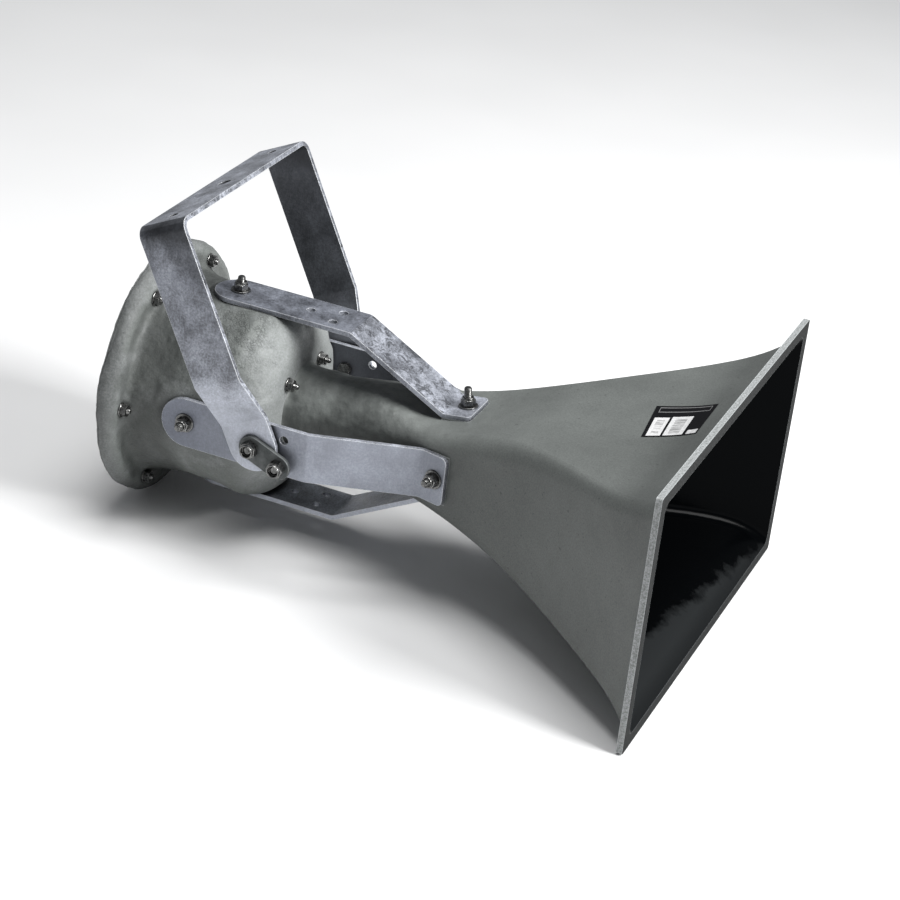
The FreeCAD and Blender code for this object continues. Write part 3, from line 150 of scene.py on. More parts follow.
class Graph:
    """A material's node tree, built one call at a time."""

    def __init__(self, name):
        self.material = bpy.data.materials.new(name)
        self.material.use_nodes = True
        self.tree = self.material.node_tree
        self.tree.nodes.clear()
        out = self.add("ShaderNodeOutputMaterial")
        self.bsdf = self.add("ShaderNodeBsdfPrincipled")
        self.link(self.bsdf.outputs["BSDF"], out.inputs["Surface"])
        texture = self.add("ShaderNodeTexCoord")
        self.coords, self.turned = texture.outputs["Object"], texture.outputs["Normal"]

    def add(self, kind, inputs=None, **settings):
        made = self.tree.nodes.new(kind)
        for key, setting in settings.items():
            setattr(made, key, setting)
        for key, source in (inputs or {}).items():
            self.feed(made.inputs[key], source)
        return made

    def feed(self, socket, source):
        if isinstance(source, bpy.types.NodeSocket):
            self.link(source, socket)
        else:
            socket.default_value = source

    def link(self, source, socket):
        self.tree.links.new(source, socket)

    def axes(self, vector):
        """The parts of a vector, by letter."""
        return self.add("ShaderNodeSeparateXYZ", {0: vector}).outputs

    def noise(self, scale, detail=4.0, roughness=0.55, distortion=0.0, vector=None, output="Fac"):
        inputs = {"Vector": vector or self.coords, "Scale": scale, "Detail": detail, "Roughness": roughness,
                  "Distortion": distortion}
        return self.add("ShaderNodeTexNoise", inputs).outputs[output]

    def ramp(self, source, *stops):
        """A colour ramp: stops are (position, grey or colour)."""
        made = self.add("ShaderNodeValToRGB", {"Fac": source})
        ramp = made.color_ramp
        for i, (place, colour) in enumerate(stops):
            stop = ramp.elements[i] if i < 2 else ramp.elements.new(place)
            stop.position = place
            stop.color = colour if isinstance(colour, tuple) else (colour, colour, colour, 1)
        return made.outputs["Color"]

    def mix(self, factor, first, second, blend="MIX"):
        made = self.add("ShaderNodeMix", data_type="RGBA", blend_type=blend)
        self.feed(made.inputs[0], factor)
        self.feed(made.inputs[6], first)
        self.feed(made.inputs[7], second)
        return made.outputs[2]

    def math(self, operation, *values, clamp=False):
        made = self.add("ShaderNodeMath", operation=operation, use_clamp=clamp)
        for i, source in enumerate(values):
            self.feed(made.inputs[i], source)
        return made.outputs[0]

    def vector_math(self, operation, *values, output="Vector"):
        return self.add("ShaderNodeVectorMath", dict(enumerate(values)), operation=operation).outputs[output]

    def product(self, first, *others):
        for other in others:
            first = self.math("MULTIPLY", first, other)
        return first

    def wash(self, colour, where, strength, over, blend="MIX"):
        """Lays one colour over another, where a mask allows and no stronger than a strength."""
        return self.mix(self.product(where, strength), colour, over, blend)

    def span(self, source, low, high, to_low=0.0, to_high=1.0):
        made = self.add("ShaderNodeMapRange", {"Value": source, "From Min": low, "From Max": high,
                                               "To Min": to_low, "To Max": to_high})
        return made.outputs["Result"]

    def hollows(self, distance, samples):
        """One in the open, less where the surface is hemmed in."""
        made = self.add("ShaderNodeAmbientOcclusion", {"Distance": distance}, samples=samples)
        return made.outputs["AO"]

    def edges(self, radius, low, high):
        """One along sharp edges, from the difference between the bevelled and the true normal."""
        bevel = self.add("ShaderNodeBevel", {"Radius": radius}, samples=4).outputs["Normal"]
        plain = self.add("ShaderNodeNewGeometry").outputs["Normal"]
        return self.span(self.vector_math("DOT_PRODUCT", bevel, plain, output="Value"), low, high)

    def bump(self, height, distance, strength=1.0, normal=None):
        inputs = {"Height": height, "Distance": distance, "Strength": strength}
        if normal:
            inputs["Normal"] = normal
        return self.add("ShaderNodeBump", inputs).outputs["Normal"]

    def surface(self, **inputs):
        """Feeds the principled shader: Base_Color=..., Roughness=..."""
        for key, source in inputs.items():
            self.feed(self.bsdf.inputs[key.replace("_", " ")], source)
        return self.material


def gelcoat_colour(g, dark, light):
    """Cloudy grey-green with fine grain and a few dark specks."""
    clouds = g.ramp(g.noise(9, 5), (0.3, shade("gelcoat", dark)), (0.72, shade("gelcoat", light)))
    colour = g.mix(0.45, clouds, g.ramp(g.noise(700, 3, 0.7), (0.35, 0.30), (0.65, 0.70)), "OVERLAY")
    specks = g.ramp(g.noise(240, 1), (0.24, 1.0), (0.29, 0.0))
    return g.wash(colour, specks, 0.5, shade("gelcoat", dark * 0.4))


def speckled(g, dark, light):
    """Grey with coarse speckles, for worn rims and patches, and also for painted light and shade on the
    housing.
    """
    return g.ramp(g.noise(520.0, 4, 0.75), (0.36, shade("gelcoat", dark)), (0.64, shade("rubbed", light)))


def make_horn_gelcoat():
    """Satin outside, smooth on the flare and hand laid toward the neck, with a rubbed rim and painted shade
    under the neck.
    """
    g = Graph("horn_gelcoat")
    s = sizes()
    place, turned = g.axes(g.coords), g.axes(g.turned)
    hand = g.span(place["Y"], s.mouth_back + 0.20, s.mouth_back + 0.34)
    rim = g.math("LESS_THAN", place["Y"], s.mouth_back + s.lip_thickness + 0.0002)
    under = g.span(turned["Z"], 0.45, -0.25)
    blotches = g.ramp(g.noise(45, 4, 0.6), (0.36, shade("gelcoat", 0.133)), (0.70, shade("gelcoat", 0.266)))
    colour = gelcoat_colour(g, 0.1037, 0.1436)
    colour = g.wash(colour, hand, 0.6, blotches)
    # Painted shade: faces turned downward toward the neck are darkened, as if in shadow.
    colour = g.wash(colour, g.product(hand, under), 0.8, shade("gelcoat", 0.04))
    colour = g.wash(colour, rim, 0.85, speckled(g, 0.133, 0.399))
    colour = g.wash(colour, g.edges(0.0012, 0.99, 0.9), 0.55, (0.61, 0.64, 0.65, 1))
    rough = g.span(g.noise(35), 0.3, 0.7, 0.42, 0.58)
    peel = g.bump(g.noise(300, 2), 0.0003, 0.4)
    waves = g.bump(g.noise(14, 3), 0.0015, 0.35, peel)
    lumps = g.bump(g.product(g.noise(80, 4, 0.55), hand), 0.0025, 0.5, waves)
    g.bsdf.inputs["Specular IOR Level"].default_value = 0.4
    return g.surface(Base_Color=colour, Roughness=rough, Normal=lumps)


def make_horn_inside():
    """Glossy black inside, with a painted reflection that makes the floor paler near the mouth, and a
    charcoal front to the mouth flange.
    """
    g = Graph("horn_inside")
    s = sizes()
    place, turned = g.axes(g.coords), g.axes(g.turned)
    lip = g.math("LESS_THAN", turned["Y"], -0.9)
    # Painted reflection: a paler patch on the upward faces inside, near the mouth, with a ragged slanted
    # edge.
    floor = g.span(turned["Z"], 0.55, 0.8)
    slanted = g.math("ADD", place["Y"], g.product(place["X"], 0.13))
    ragged = g.math("ADD", slanted, g.product(g.noise(45, 5, 0.65), 0.03))
    near = g.span(ragged, s.mouth_back + 0.045, s.mouth_back + 0.037)
    colour = g.mix(g.product(floor, near), (0.0006, 0.0008, 0.001, 1), (0.0145, 0.0158, 0.0165, 1))
    colour = g.mix(lip, colour, speckled(g, 0.0106, 0.0266))
    # Paler sharp edges: partly rubbed wear, partly a painted highlight along the mouth flange's inner edge.
    colour = g.wash(colour, g.edges(0.0008, 0.99, 0.88), 0.35, (0.46, 0.49, 0.50, 1))
    rough = g.mix(lip, g.span(g.noise(18, 3), 0.3, 0.7, 0.14, 0.24), (0.6, 0.6, 0.6, 1))
    g.bsdf.inputs["Specular IOR Level"].default_value = 0.02
    return g.surface(Base_Color=colour, Roughness=rough, Normal=g.bump(g.noise(24, 3), 0.0012, 0.3))


def crackled(g):
    """A net of fine wrinkles in a patch behind the top strap's near edge."""
    wander = g.noise(160.0, 3.0, 0.5, output="Color")
    bent = g.vector_math("MULTIPLY_ADD", wander, (0.009, 0.009, 0.009), g.coords)
    net = g.add("ShaderNodeTexVoronoi", {"Vector": bent, "Scale": 340.0}, feature="DISTANCE_TO_EDGE")
    lines = g.span(net.outputs["Distance"], 0.02, 0.16, 1.0, 0.0)
    broken = g.span(g.noise(90, 3), 0.38, 0.55)
    spread = g.vector_math("DISTANCE", g.coords, at(-50, 490, 82), output="Value")
    patch = g.span(g.math("ADD", spread, g.product(g.noise(30, 3), 0.03)), 0.042, 0.066, 1.0, 0.0)
    return g.product(lines, broken, patch)


def make_housing_gelcoat():
    """Hand-laid laminate under thick paint: lumps, crackled patches and a rubbed rim, with painted shade in
    the hollows, in the waist and on the rim, and painted light on the front.
    """
    g = Graph("housing_gelcoat")
    s = sizes()
    place = g.axes(g.coords)
    centred = g.vector_math("ADD", g.coords, (0, 0, -s.axis_height))
    radius = g.vector_math("LENGTH", g.vector_math("MULTIPLY", centred, (1, 0, 1)), output="Value")
    lumps = g.noise(48, 6, 0.6)
    spots = g.ramp(g.noise(30, 5, 0.65), (0.50, 0.0), (0.64, 1.0))
    crackle = crackled(g)
    off = g.math("ABSOLUTE", g.math("SUBTRACT", place["Y"], s.mouth_back + 0.556))
    valley_shade = g.span(g.math("ADD", off, g.product(g.noise(35, 4), 0.02)), 0.044, 0.022)
    inside = g.span(radius, s.flange_radius - 0.010, s.flange_radius - 0.022)
    rim = g.span(radius, s.flange_radius - 0.010, s.flange_radius - 0.003)
    sunk_shade = g.span(g.hollows(0.05, 8), 0.30, 0.88, 0.85, 0.0)
    rear = g.span(place["Y"], s.mouth_back + 0.447, s.mouth_back + 0.475, 0.25, 1.0)
    front = g.span(place["Y"], s.mouth_back + 0.470, s.mouth_back + 0.448, 0.0, 0.55)
    colour = gelcoat_colour(g, 0.109, 0.1995)
    colour = g.wash(colour, spots, 0.55, speckled(g, 0.173, 0.319))
    colour = g.wash(colour, crackle, 0.5, shade("gelcoat", 0.053))
    # Painted shade: a dark band in the waist between the flange and the body, inside the flange.
    colour = g.wash(colour, g.product(valley_shade, inside), 0.6, shade("gelcoat", 0.037))
    # Speckled rim, darker than the face: partly rubbed gelcoat, partly painted shade where the rim curves
    # away.
    colour = g.wash(colour, rim, 0.65, speckled(g, 0.08, 0.173))
    # Painted shade: darker where the surface is hemmed in, weaker toward the front.
    colour = g.wash(colour, sunk_shade, rear, shade("gelcoat", 0.029))
    # Painted light: the front of the housing is washed paler and speckled, as if lit from ahead.
    colour = g.mix(front, colour, speckled(g, 0.226, 0.346))
    bump = g.bump(g.product(crackle, -1.0), 0.001, 0.5)
    bump = g.bump(g.noise(260, 4, 0.6), 0.0006, 0.45, bump)
    bump = g.bump(lumps, 0.003, 0.7, bump)
    g.bsdf.inputs["Specular IOR Level"].default_value = 0.4
    return g.surface(Base_Color=colour, Roughness=g.span(lumps, 0.3, 0.7, 0.48, 0.68), Normal=bump)


def make_galvanised():
    """Hot-dip zinc: grey with grain, clouds and streaks and dull where bent, with painted dark reflections
    high on the legs and at their top bends, painted light low down, painted shade on the top strap's flats,
    on inward faces and in holes, and bright edges that are partly wear and partly painted highlight.
    """
    g = Graph("galvanised")
    s = sizes()
    place, turned = g.axes(g.coords), g.axes(g.turned)
    clouds = g.ramp(g.noise(30, 6, 0.68), (0.37, shade("zinc", 0.2016)), (0.63, shade("zinc", 0.5184)))
    grain = g.ramp(g.noise(480, 5, 0.8), (0.36, 0.30), (0.64, 0.70))
    stretched = g.add("ShaderNodeMapping", {"Vector": g.coords, "Scale": (620, 620, 40)}).outputs[0]
    streaks = g.ramp(g.noise(1, 4, 0.6, vector=stretched), (0.56, 0.0), (0.70, 1.0))
    slope = g.span(turned["Y"], -0.12, -0.30)
    upward = g.math("GREATER_THAN", turned["Z"], 0.3)
    mottled = g.ramp(g.noise(95, 6, 0.85, 0.8), (0.42, 1.0), (0.53, 0.0))
    leg = g.math("GREATER_THAN", g.math("ABSOLUTE", turned["X"]), 0.7)
    flat = g.math("GREATER_THAN", turned["Z"], 0.97)
    top_strap = g.math("COMPARE", place["Z"], s.axis_height + 0.1, 0.02)
    lit_foot = g.span(place["Z"], s.axis_height + 0.07, s.axis_height + 0.03)
    inboard = g.math("LESS_THAN", g.math("ABSOLUTE", place["X"]), s.strap_distance + s.bar_thickness + 0.0015)
    side_strap = g.product(inboard, g.math("COMPARE", place["Z"], s.axis_height, 0.03))
    rear = g.span(place["Y"], s.mouth_back + 0.42, s.mouth_back + 0.52, 0.5, 0.8)
    high = g.span(place["Z"], s.axis_height + 0.06, s.axis_height + 0.20)
    cloudy = g.span(g.noise(40, 5, 0.7), 0.35, 0.6, 1.0, 0.5)
    corner = g.span(place["Z"], s.axis_height + 0.185, s.axis_height + 0.20)
    outer = g.math("LESS_THAN", turned["X"], -0.15)
    inner = g.math("LESS_THAN", g.product(turned["X"], place["X"]), -0.05)
    hollow_shade = g.span(g.hollows(0.007, 6), 0.40, 0.92, 0.95, 0.0)
    colour = g.mix(0.75, clouds, grain, "OVERLAY")
    colour = g.wash(colour, streaks, 0.4, shade("zinc", 0.576))
    colour = g.wash(colour, g.product(slope, upward, mottled), 0.85, shade("zinc", 0.0504))
    # Painted shade: the top strap's flat upper faces are multiplied darker than its slope.
    colour = g.wash(colour, g.product(flat, top_strap), 0.6, shade("zinc", 0.2736), "MULTIPLY")
    # Painted light: sideways faces low down, on the lower legs and the side straps, are washed paler.
    colour = g.wash(colour, g.product(leg, lit_foot), 0.45, shade("zinc", 0.7488))
    colour = g.wash(colour, g.product(side_strap, leg), rear, shade("zinc", 0.3024), "MULTIPLY")
    # Painted reflection: sideways faces high on the legs are darkened in patches, as dark surroundings
    # mirrored in the zinc.
    colour = g.wash(colour, g.product(leg, high, cloudy), 0.8, shade("zinc", 0.1944), "MULTIPLY")
    # Painted reflection: a near-black band on faces turned to the near side at the top of the legs.
    colour = g.wash(colour, g.product(outer, corner), 0.8, shade("zinc", 0.0288))
    # Painted shade: faces of the side straps and legs turned in toward the horn are darkened.
    colour = g.wash(colour, inner, 0.7, shade("zinc", 0.0576))
    # Painted shade: darker in holes and crevices where the surface is hemmed in.
    colour = g.mix(hollow_shade, colour, shade("zinc", 0.0173))
    # Bright sharp edges: partly rubbed wear, partly painted highlight.
    colour = g.wash(colour, g.edges(0.0008, 0.995, 0.93), 0.85, (0.90, 0.92, 0.94, 1))
    rough = g.span(g.noise(60, 5), 0.3, 0.7, 0.36, 0.56)
    bump = g.bump(g.noise(150, 6, 0.7), 0.0006, 0.45)
    return g.surface(Base_Color=colour, Roughness=rough, Metallic=0.5, Normal=bump)


def make_dark_steel():
    """Weathered link plates with edges rubbed bright."""
    g = Graph("dark_steel")
    colour = g.ramp(g.noise(90, 6), (0.35, (0.047, 0.053, 0.053, 1)), (0.7, (0.113, 0.12, 0.12, 1)))
    colour = g.wash(colour, g.edges(0.0008, 0.995, 0.93), 0.5, (0.53, 0.55, 0.56, 1))
    return g.surface(Base_Color=colour, Roughness=g.span(g.noise(200), 0.3, 0.7, 0.4, 0.6), Metallic=0.5,
                     Normal=g.bump(g.noise(400, 3), 0.0002, 0.3))


def make_zinc():
    """Plated hardware, painted dark all over as the dark surroundings it would mirror, and bright on its
    rubbed edges.
    """
    g = Graph("zinc_hardware")
    # Painted reflection: the base is kept near black to stand in for the dark surroundings a plated nut
    # mirrors.
    colour = g.ramp(g.noise(400, 4), (0.3, (0.047, 0.048, 0.048, 1)), (0.7, (0.225, 0.225, 0.222, 1)))
    colour = g.wash(colour, g.edges(0.0006, 0.99, 0.86), 0.6, (0.73, 0.73, 0.70, 1))
    return g.surface(Base_Color=colour, Roughness=g.span(g.noise(500, 4), 0.3, 0.7, 0.24, 0.38), Metallic=1.0,
                     Normal=g.bump(g.noise(1200, 2), 0.0001, 0.3))


def make_plain(name, dark, light, rough, metallic=0.0, scale=120.0):
    """A plain moulded or cast surface with a little cloud and grain."""
    g = Graph(name)
    colour = g.ramp(g.noise(scale, 5), (0.3, dark + (1,)), (0.7, light + (1,)))
    return g.surface(Base_Color=colour, Roughness=g.span(g.noise(scale * 2), 0.3, 0.7, rough, rough + 0.15),
                     Metallic=metallic, Normal=g.bump(g.noise(scale * 5, 3), 0.0002, 0.3))


# Dark colour, light colour, roughness and, where they differ, metal and scale of the plain finishes
PLAIN = {
    "black_rubber": ((0.012, 0.012, 0.012), (0.025, 0.025, 0.025), 0.6),
    "cork": ((0.16, 0.09, 0.045), (0.30, 0.19, 0.10), 0.8),
    "driver_steel": ((0.03, 0.03, 0.032), (0.07, 0.07, 0.075), 0.4, 0.8),
    "cap_metal": ((0.01, 0.01, 0.01), (0.02, 0.02, 0.02), 0.3),
    "ferrite": ((0.02, 0.02, 0.022), (0.05, 0.05, 0.055), 0.5),
    "black_plastic": ((0.008, 0.008, 0.008), (0.016, 0.016, 0.016), 0.3),
    "dome_foil": ((0.5, 0.5, 0.5), (0.65, 0.65, 0.65), 0.25, 0.9),
    "copper": ((0.45, 0.16, 0.06), (0.65, 0.27, 0.12), 0.3, 0.8, 600.0),
    "core_steel": ((0.10, 0.10, 0.11), (0.20, 0.20, 0.21), 0.4, 0.8, 300.0),
    "gland_plastic": ((0.010, 0.010, 0.010), (0.022, 0.022, 0.022), 0.45),
}
MAKERS = {"horn_gelcoat": make_horn_gelcoat, "horn_inside": make_horn_inside,
          "housing_gelcoat": make_housing_gelcoat, "galvanised": make_galvanised,
          "dark_steel": make_dark_steel, "zinc_hardware": make_zinc}


def material_for(slot):
    """The finished material of a record slot, made once."""
    old = bpy.data.materials.get(slot)
    if old and old.get("finished"):
        return old
    if old:
        old.name = slot + "_packed"
    made = MAKERS[slot]() if slot in MAKERS else make_plain(slot, *PLAIN[slot])
    made.name = slot
    made["finished"] = True
    return made


# Mesh helpers


def new_piece(name, mesh, slot, body, replaced=()):
    """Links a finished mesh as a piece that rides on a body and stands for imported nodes."""
    piece = bpy.data.objects.new(name, mesh)
    bpy.context.scene.collection.objects.link(piece)
    if not mesh.materials:
        mesh.materials.append(material_for(slot))
    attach(piece, body)
    if replaced:
        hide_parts(*replaced)


def soften(mesh, degrees=35.0):
    """Shades a mesh smooth, apart from edges sharper than an angle."""
    mesh.shade_smooth()
    mesh.set_sharp_from_angle(angle=math.radians(degrees))
    return mesh


def evaluated(piece):
    """A plain mesh of an object with its modifiers applied."""
    graph = bpy.context.evaluated_depsgraph_get()
    return bpy.data.meshes.new_from_object(piece.evaluated_get(graph))


def turns(count):
    """Angles spread evenly over a full turn."""
    return [2 * math.pi * i / count for i in range(count)]


def circle(radius, height, angles):
    """Points round Z in metres, from a radius and a height in millimetres."""
    return [Vector((radius * math.cos(a), radius * math.sin(a), height)) / 1000 for a in angles]


def rings(name, rows, closed=True):
    """A mesh from rows of points that run round the same way. Rows may share an end point."""
    bm = bmesh.new()
    loops = [[bm.verts.new(point) for point in row] for row in rows]
    count = len(rows[0])
    for low, high in zip(loops, loops[1:]):
        for i in range(count):
            j = (i + 1) % count
            bm.faces.new((low[i], low[j], high[j], high[i]))
    if closed:
        bm.faces.new(list(reversed(loops[0])))
        bm.faces.new(loops[-1])
    mesh = bpy.data.meshes.new(name)
    bm.to_mesh(mesh)
    bm.free()
    return mesh


def lathe(name, profile, count=48):
    """Turns a closed outline of (radius, height) points, in millimetres, about Z."""
    rows = [circle(radius, height, turns(count)) for radius, height in profile + profile[:1]]
    mesh = rings(name, rows, False)
    bm = bmesh.new()
    bm.from_mesh(mesh)
    bmesh.ops.remove_doubles(bm, verts=bm.verts, dist=1e-7)
    bm.to_mesh(mesh)
    bm.free()
    return mesh


def joined(name, meshes):
    """One mesh from several."""
    bm = bmesh.new()
    for mesh in meshes:
        bm.from_mesh(mesh)
    mesh = bpy.data.meshes.new(name)
    bm.to_mesh(mesh)
    bm.free()
    return mesh


# Hardware: nuts, washers and bolts drawn once and copied with geometry nodes. All sizes are in millimetres.


def hexagon_radius(flats, angle):
    """Distance from the middle to a hexagon's side at an angle."""
    return flats / 2 / math.cos((angle + math.pi / 6) % (math.pi / 3) - math.pi / 6)


def hexagon(name, flats, low, high, bore=0.0, chamfer=0.97):
    """A hexagon head or nut with turned corners, between two heights."""
    angles = turns(48)
    inner = flats / 2 * chamfer
    rows = []
    for height, inside in ((low, True), (low, False), (high, False), (high, True)):
        row = []
        for angle in angles:
            radius = hexagon_radius(flats, angle)
            cut = max(radius - inner, 0) * 0.55
            inward = height + (cut if height == low else -cut)
            row.append((inner, angle, height) if inside else (radius, angle, inward))
        rows.append([Vector((r * math.cos(a), r * math.sin(a), z)) / 1000 for r, a, z in row])
    if bore:
        hole = [circle(bore * wider, height, angles)
                for wider, height in ((1.12, low), (1.0, low + 0.4), (1.0, high - 0.4), (1.12, high))]
        rows = hole[:1] + rows + list(reversed(hole[1:])) + hole[:1]
    return rings(name, rows, not bore)


def lock_nut(name, flats, height, bore):
    """A nut whose upper part is a round collar with a nylon ring inside."""
    body = hexagon(name + "_hex", flats, 0, height * 0.72, bore)
    r = flats / 2 * 0.93
    outline = [(r, height * 0.66), (r, height * 0.9), (r * 0.95, height * 0.98), (r * 0.86, height),
               (bore * 1.16, height * 0.985), (bore * 1.08, height * 0.9), (bore * 1.02, height * 0.66)]
    return joined(name, [body, lathe(name + "_collar", outline)])


def washer(name, outside, inside, thick):
    """A flat ring with eased edges."""
    e = min(0.25, thick / 3)
    return lathe(name, [(inside, e), (inside + e, 0), (outside - e, 0), (outside, e), (outside, thick - e),
                        (outside - e, thick), (inside + e, thick), (inside, thick - e)])


def threaded(name, radius, start, end, thread_start, pitch=1.41):
    """A shank with a helical thread up to a chamfered end."""
    count, depth, chamfer = 24, pitch * 0.45, 1.2
    angles = turns(count)
    rows = [circle(radius, start, angles)]
    steps = int((end - thread_start) / pitch * 6)
    for k in range(steps + 1):
        z = thread_start + (end - thread_start) * k / steps
        limit = radius - max(0.0, z - (end - chamfer)) * 0.9
        row = []
        for i, angle in enumerate(angles):
            phase = (z / pitch - i / count) % 1.0
            row.append((min(radius - depth * (1 - abs(2 * phase - 1)), limit), angle))
        rows.append([Vector((r * math.cos(a), r * math.sin(a), z)) / 1000 for r, a in row])
    return rings(name, rows)


def hex_bolt(name, radius, shank, flats, head=4.6, thread=16.0, pitch=1.41):
    """A bolt whose head hangs below zero and whose shank runs up."""
    stem = threaded(name + "_shank", radius, -0.5, shank, shank - thread, pitch)
    return joined(name, [hexagon(name + "_head", flats, -head, 0), stem])


SIDES = {"top": Vector((0, 0, 1)), "bottom": Vector((0, 0, -1)), "left": Vector((-1, 0, 0)),
         "right": Vector((1, 0, 0))}
BACK = Vector((0, 1, 0))
# Inner face of each strap's pad from the axis, at the pad's rear and front ends
PADS = {"top": (41.6, 45.4), "bottom": (41.6, 45.4), "left": (61.6, 69.2), "right": (61.6, 69.2)}


def strap_spots(back, names, drop=0.0):
    """Places on the flat part of the straps, as (point, way)."""
    reach = mm("strap_distance")
    return [(SIDES[n] * reach + BACK * back - Vector((0, 0, drop)), SIDES[n]) for n in names]


def pad_spots():
    """Places where the front bolts cross the inner faces of the straps' sloping pads."""
    spots = []
    for name, (back, front) in PADS.items():
        side = SIDES[name]
        slope = math.atan2(front - back, mm("pad_length"))
        rise = back + (front - back) * mm("pad_bolt") / mm("pad_length")
        spots.append((side * rise + BACK * mm("front_bolt"), side * math.cos(slope) + BACK * math.sin(slope)))
    return spots


def ring_spots(radius, back, count, first):
    """Places on a circle round the axis, facing the mouth."""
    angles = [math.radians(first + 360 * i / count) for i in range(count)]
    return [(Vector((radius * math.cos(a), back, radius * math.sin(a))), -BACK) for a in angles]


def flange_spots():
    return ring_spots(mm("flange_circle"), mm("flange_front"), 6, 0)


def throat_spots():
    return ring_spots(mm("throat_circle"), mm("housing_front"), 4, 45)


def lifted(spots, distance):
    """The same places, moved along their ways."""
    return [(point + way * distance, way) for point, way in spots]


def copy_nodes():
    """The geometry node group that puts a template on every point of a cloud."""
    if "copy_on_points" in bpy.data.node_groups:
        return bpy.data.node_groups["copy_on_points"]
    group = bpy.data.node_groups.new("copy_on_points", "GeometryNodeTree")
    face = group.interface
    face.new_socket("Points", in_out="INPUT", socket_type="NodeSocketGeometry")
    face.new_socket("Template", in_out="INPUT", socket_type="NodeSocketObject")
    face.new_socket("Finish", in_out="INPUT", socket_type="NodeSocketMaterial")
    face.new_socket("Copies", in_out="OUTPUT", socket_type="NodeSocketGeometry")
    new, link = group.nodes.new, group.links.new
    start = new("NodeGroupInput")
    end = new("NodeGroupOutput")
    info = new("GeometryNodeObjectInfo")
    turn = new("GeometryNodeInputNamedAttribute")
    turn.data_type = "FLOAT_VECTOR"
    turn.inputs["Name"].default_value = "turn"
    euler = new("FunctionNodeEulerToRotation")
    place = new("GeometryNodeInstanceOnPoints")
    real = new("GeometryNodeRealizeInstances")
    paint = new("GeometryNodeSetMaterial")
    link(start.outputs["Template"], info.inputs["Object"])
    link(turn.outputs["Attribute"], euler.inputs[0])
    link(start.outputs["Points"], place.inputs["Points"])
    link(info.outputs["Geometry"], place.inputs["Instance"])
    link(euler.outputs[0], place.inputs["Rotation"])
    link(place.outputs[0], real.inputs[0])
    link(real.outputs[0], paint.inputs["Geometry"])
    link(start.outputs["Finish"], paint.inputs["Material"])
    link(paint.outputs[0], end.inputs[0])
    return group


def copies(name, template_mesh, spots):
    """A mesh with a copy of a template on every spot, each turned a little differently."""
    cloud = bpy.data.meshes.new(name + "_points")
    cloud.from_pydata([at(*point) for point, way in spots], [], [])
    turned = cloud.attributes.new("turn", "FLOAT_VECTOR", "POINT")
    for i, (point, way) in enumerate(spots):
        spin = Matrix.Rotation(noise.random() * math.pi / 3, 3, "Z")
        turned.data[i].vector = (way.to_track_quat("Z", "Y").to_matrix() @ spin).to_euler()
    template = bpy.data.objects.new(name + "_template", template_mesh)
    holder = bpy.data.objects.new(name + "_copies", cloud)
    for piece in (template, holder):
        bpy.context.scene.collection.objects.link(piece)
    modifier = holder.modifiers.new("copies", "NODES")
    modifier.node_group = copy_nodes()
    choices = {"Template": template, "Finish": material_for(HARDWARE)}
    for item in modifier.node_group.interface.items_tree:
        if item.name in choices and item.in_out == "INPUT":
            modifier[item.identifier] = choices[item.name]
    mesh = evaluated(holder)
    holder.modifiers.clear()
    for piece in (template, holder):
        bpy.data.objects.remove(piece)
    return mesh


def fit(name, replaced, *groups):
    """One piece of hardware from groups of (template, spots)."""
    meshes = [copies(name, template, spots) for template, spots in groups]
    new_piece(name, soften(joined(name, meshes)), HARDWARE, SPEAKER, replaced)


# Laminate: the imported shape, softened and given the lumps of hand work


def ramped(distance, start, end):
    """Zero before a start, one after an end."""
    return np.clip((distance - start) / (end - start), 0.0, 1.0)


def read_points(mesh, key):
    """Places or normals of a mesh's points, as rows of three."""
    flat = np.empty(len(mesh.vertices) * 3, np.float32)
    mesh.vertices.foreach_get(key, flat)
    return flat.reshape(-1, 3)


def lumpy(points, coarse, fine):
    """Heights of hand-laid lumps between minus their depth and zero, in metres."""
    heights = np.empty(len(points), np.float32)
    for i, point in enumerate(points):
        where = Vector(point)
        heights[i] = coarse * noise.noise(where * 24) + fine * noise.fractal(where * 75, 0.8, 2.2, 3)
    return heights - (coarse + fine) * 0.5


def hand_laid(name, meshes, voxel, rounds, coarse, fine, calm, form):
    """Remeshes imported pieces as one, eases the edges, forms the flange and lays lumps where calm allows."""
    source = bpy.data.objects.new(name + "_source", joined(name + "_source", meshes))
    bpy.context.scene.collection.objects.link(source)
    remesh = source.modifiers.new("voxels", "REMESH")
    remesh.mode = "VOXEL"
    remesh.voxel_size = voxel
    ease = source.modifiers.new("ease", "SMOOTH")
    ease.factor = 0.5
    ease.iterations = rounds
    mesh = evaluated(source)
    bpy.data.objects.remove(source)
    mesh.vertices.foreach_set("co", form(read_points(mesh, "co")).ravel())
    mesh.update()
    points, normals = read_points(mesh, "co"), read_points(mesh, "normal")
    points += normals * (lumpy(points, coarse, fine) * calm(points))[:, None]
    mesh.vertices.foreach_set("co", points.ravel())
    mesh.shade_smooth()
    mesh.update()
    return mesh


def band(name, low_radius, high_radius, front, back):
    """A square ring round the horn's axis, in millimetres."""
    outline = [(low_radius, front), (high_radius, front), (high_radius, back), (low_radius, back)]
    mesh = lathe(name, outline, 160)
    mesh.transform(Matrix.Translation(at(0, 0, 0)) @ Matrix.Rotation(math.radians(-90), 4, "X"))
    return mesh


def horn_tree():
    """The horn's surface, to cast rays at."""
    return BVHTree.FromObject(NODES["horn"], bpy.context.evaluated_depsgraph_get())


# Operators


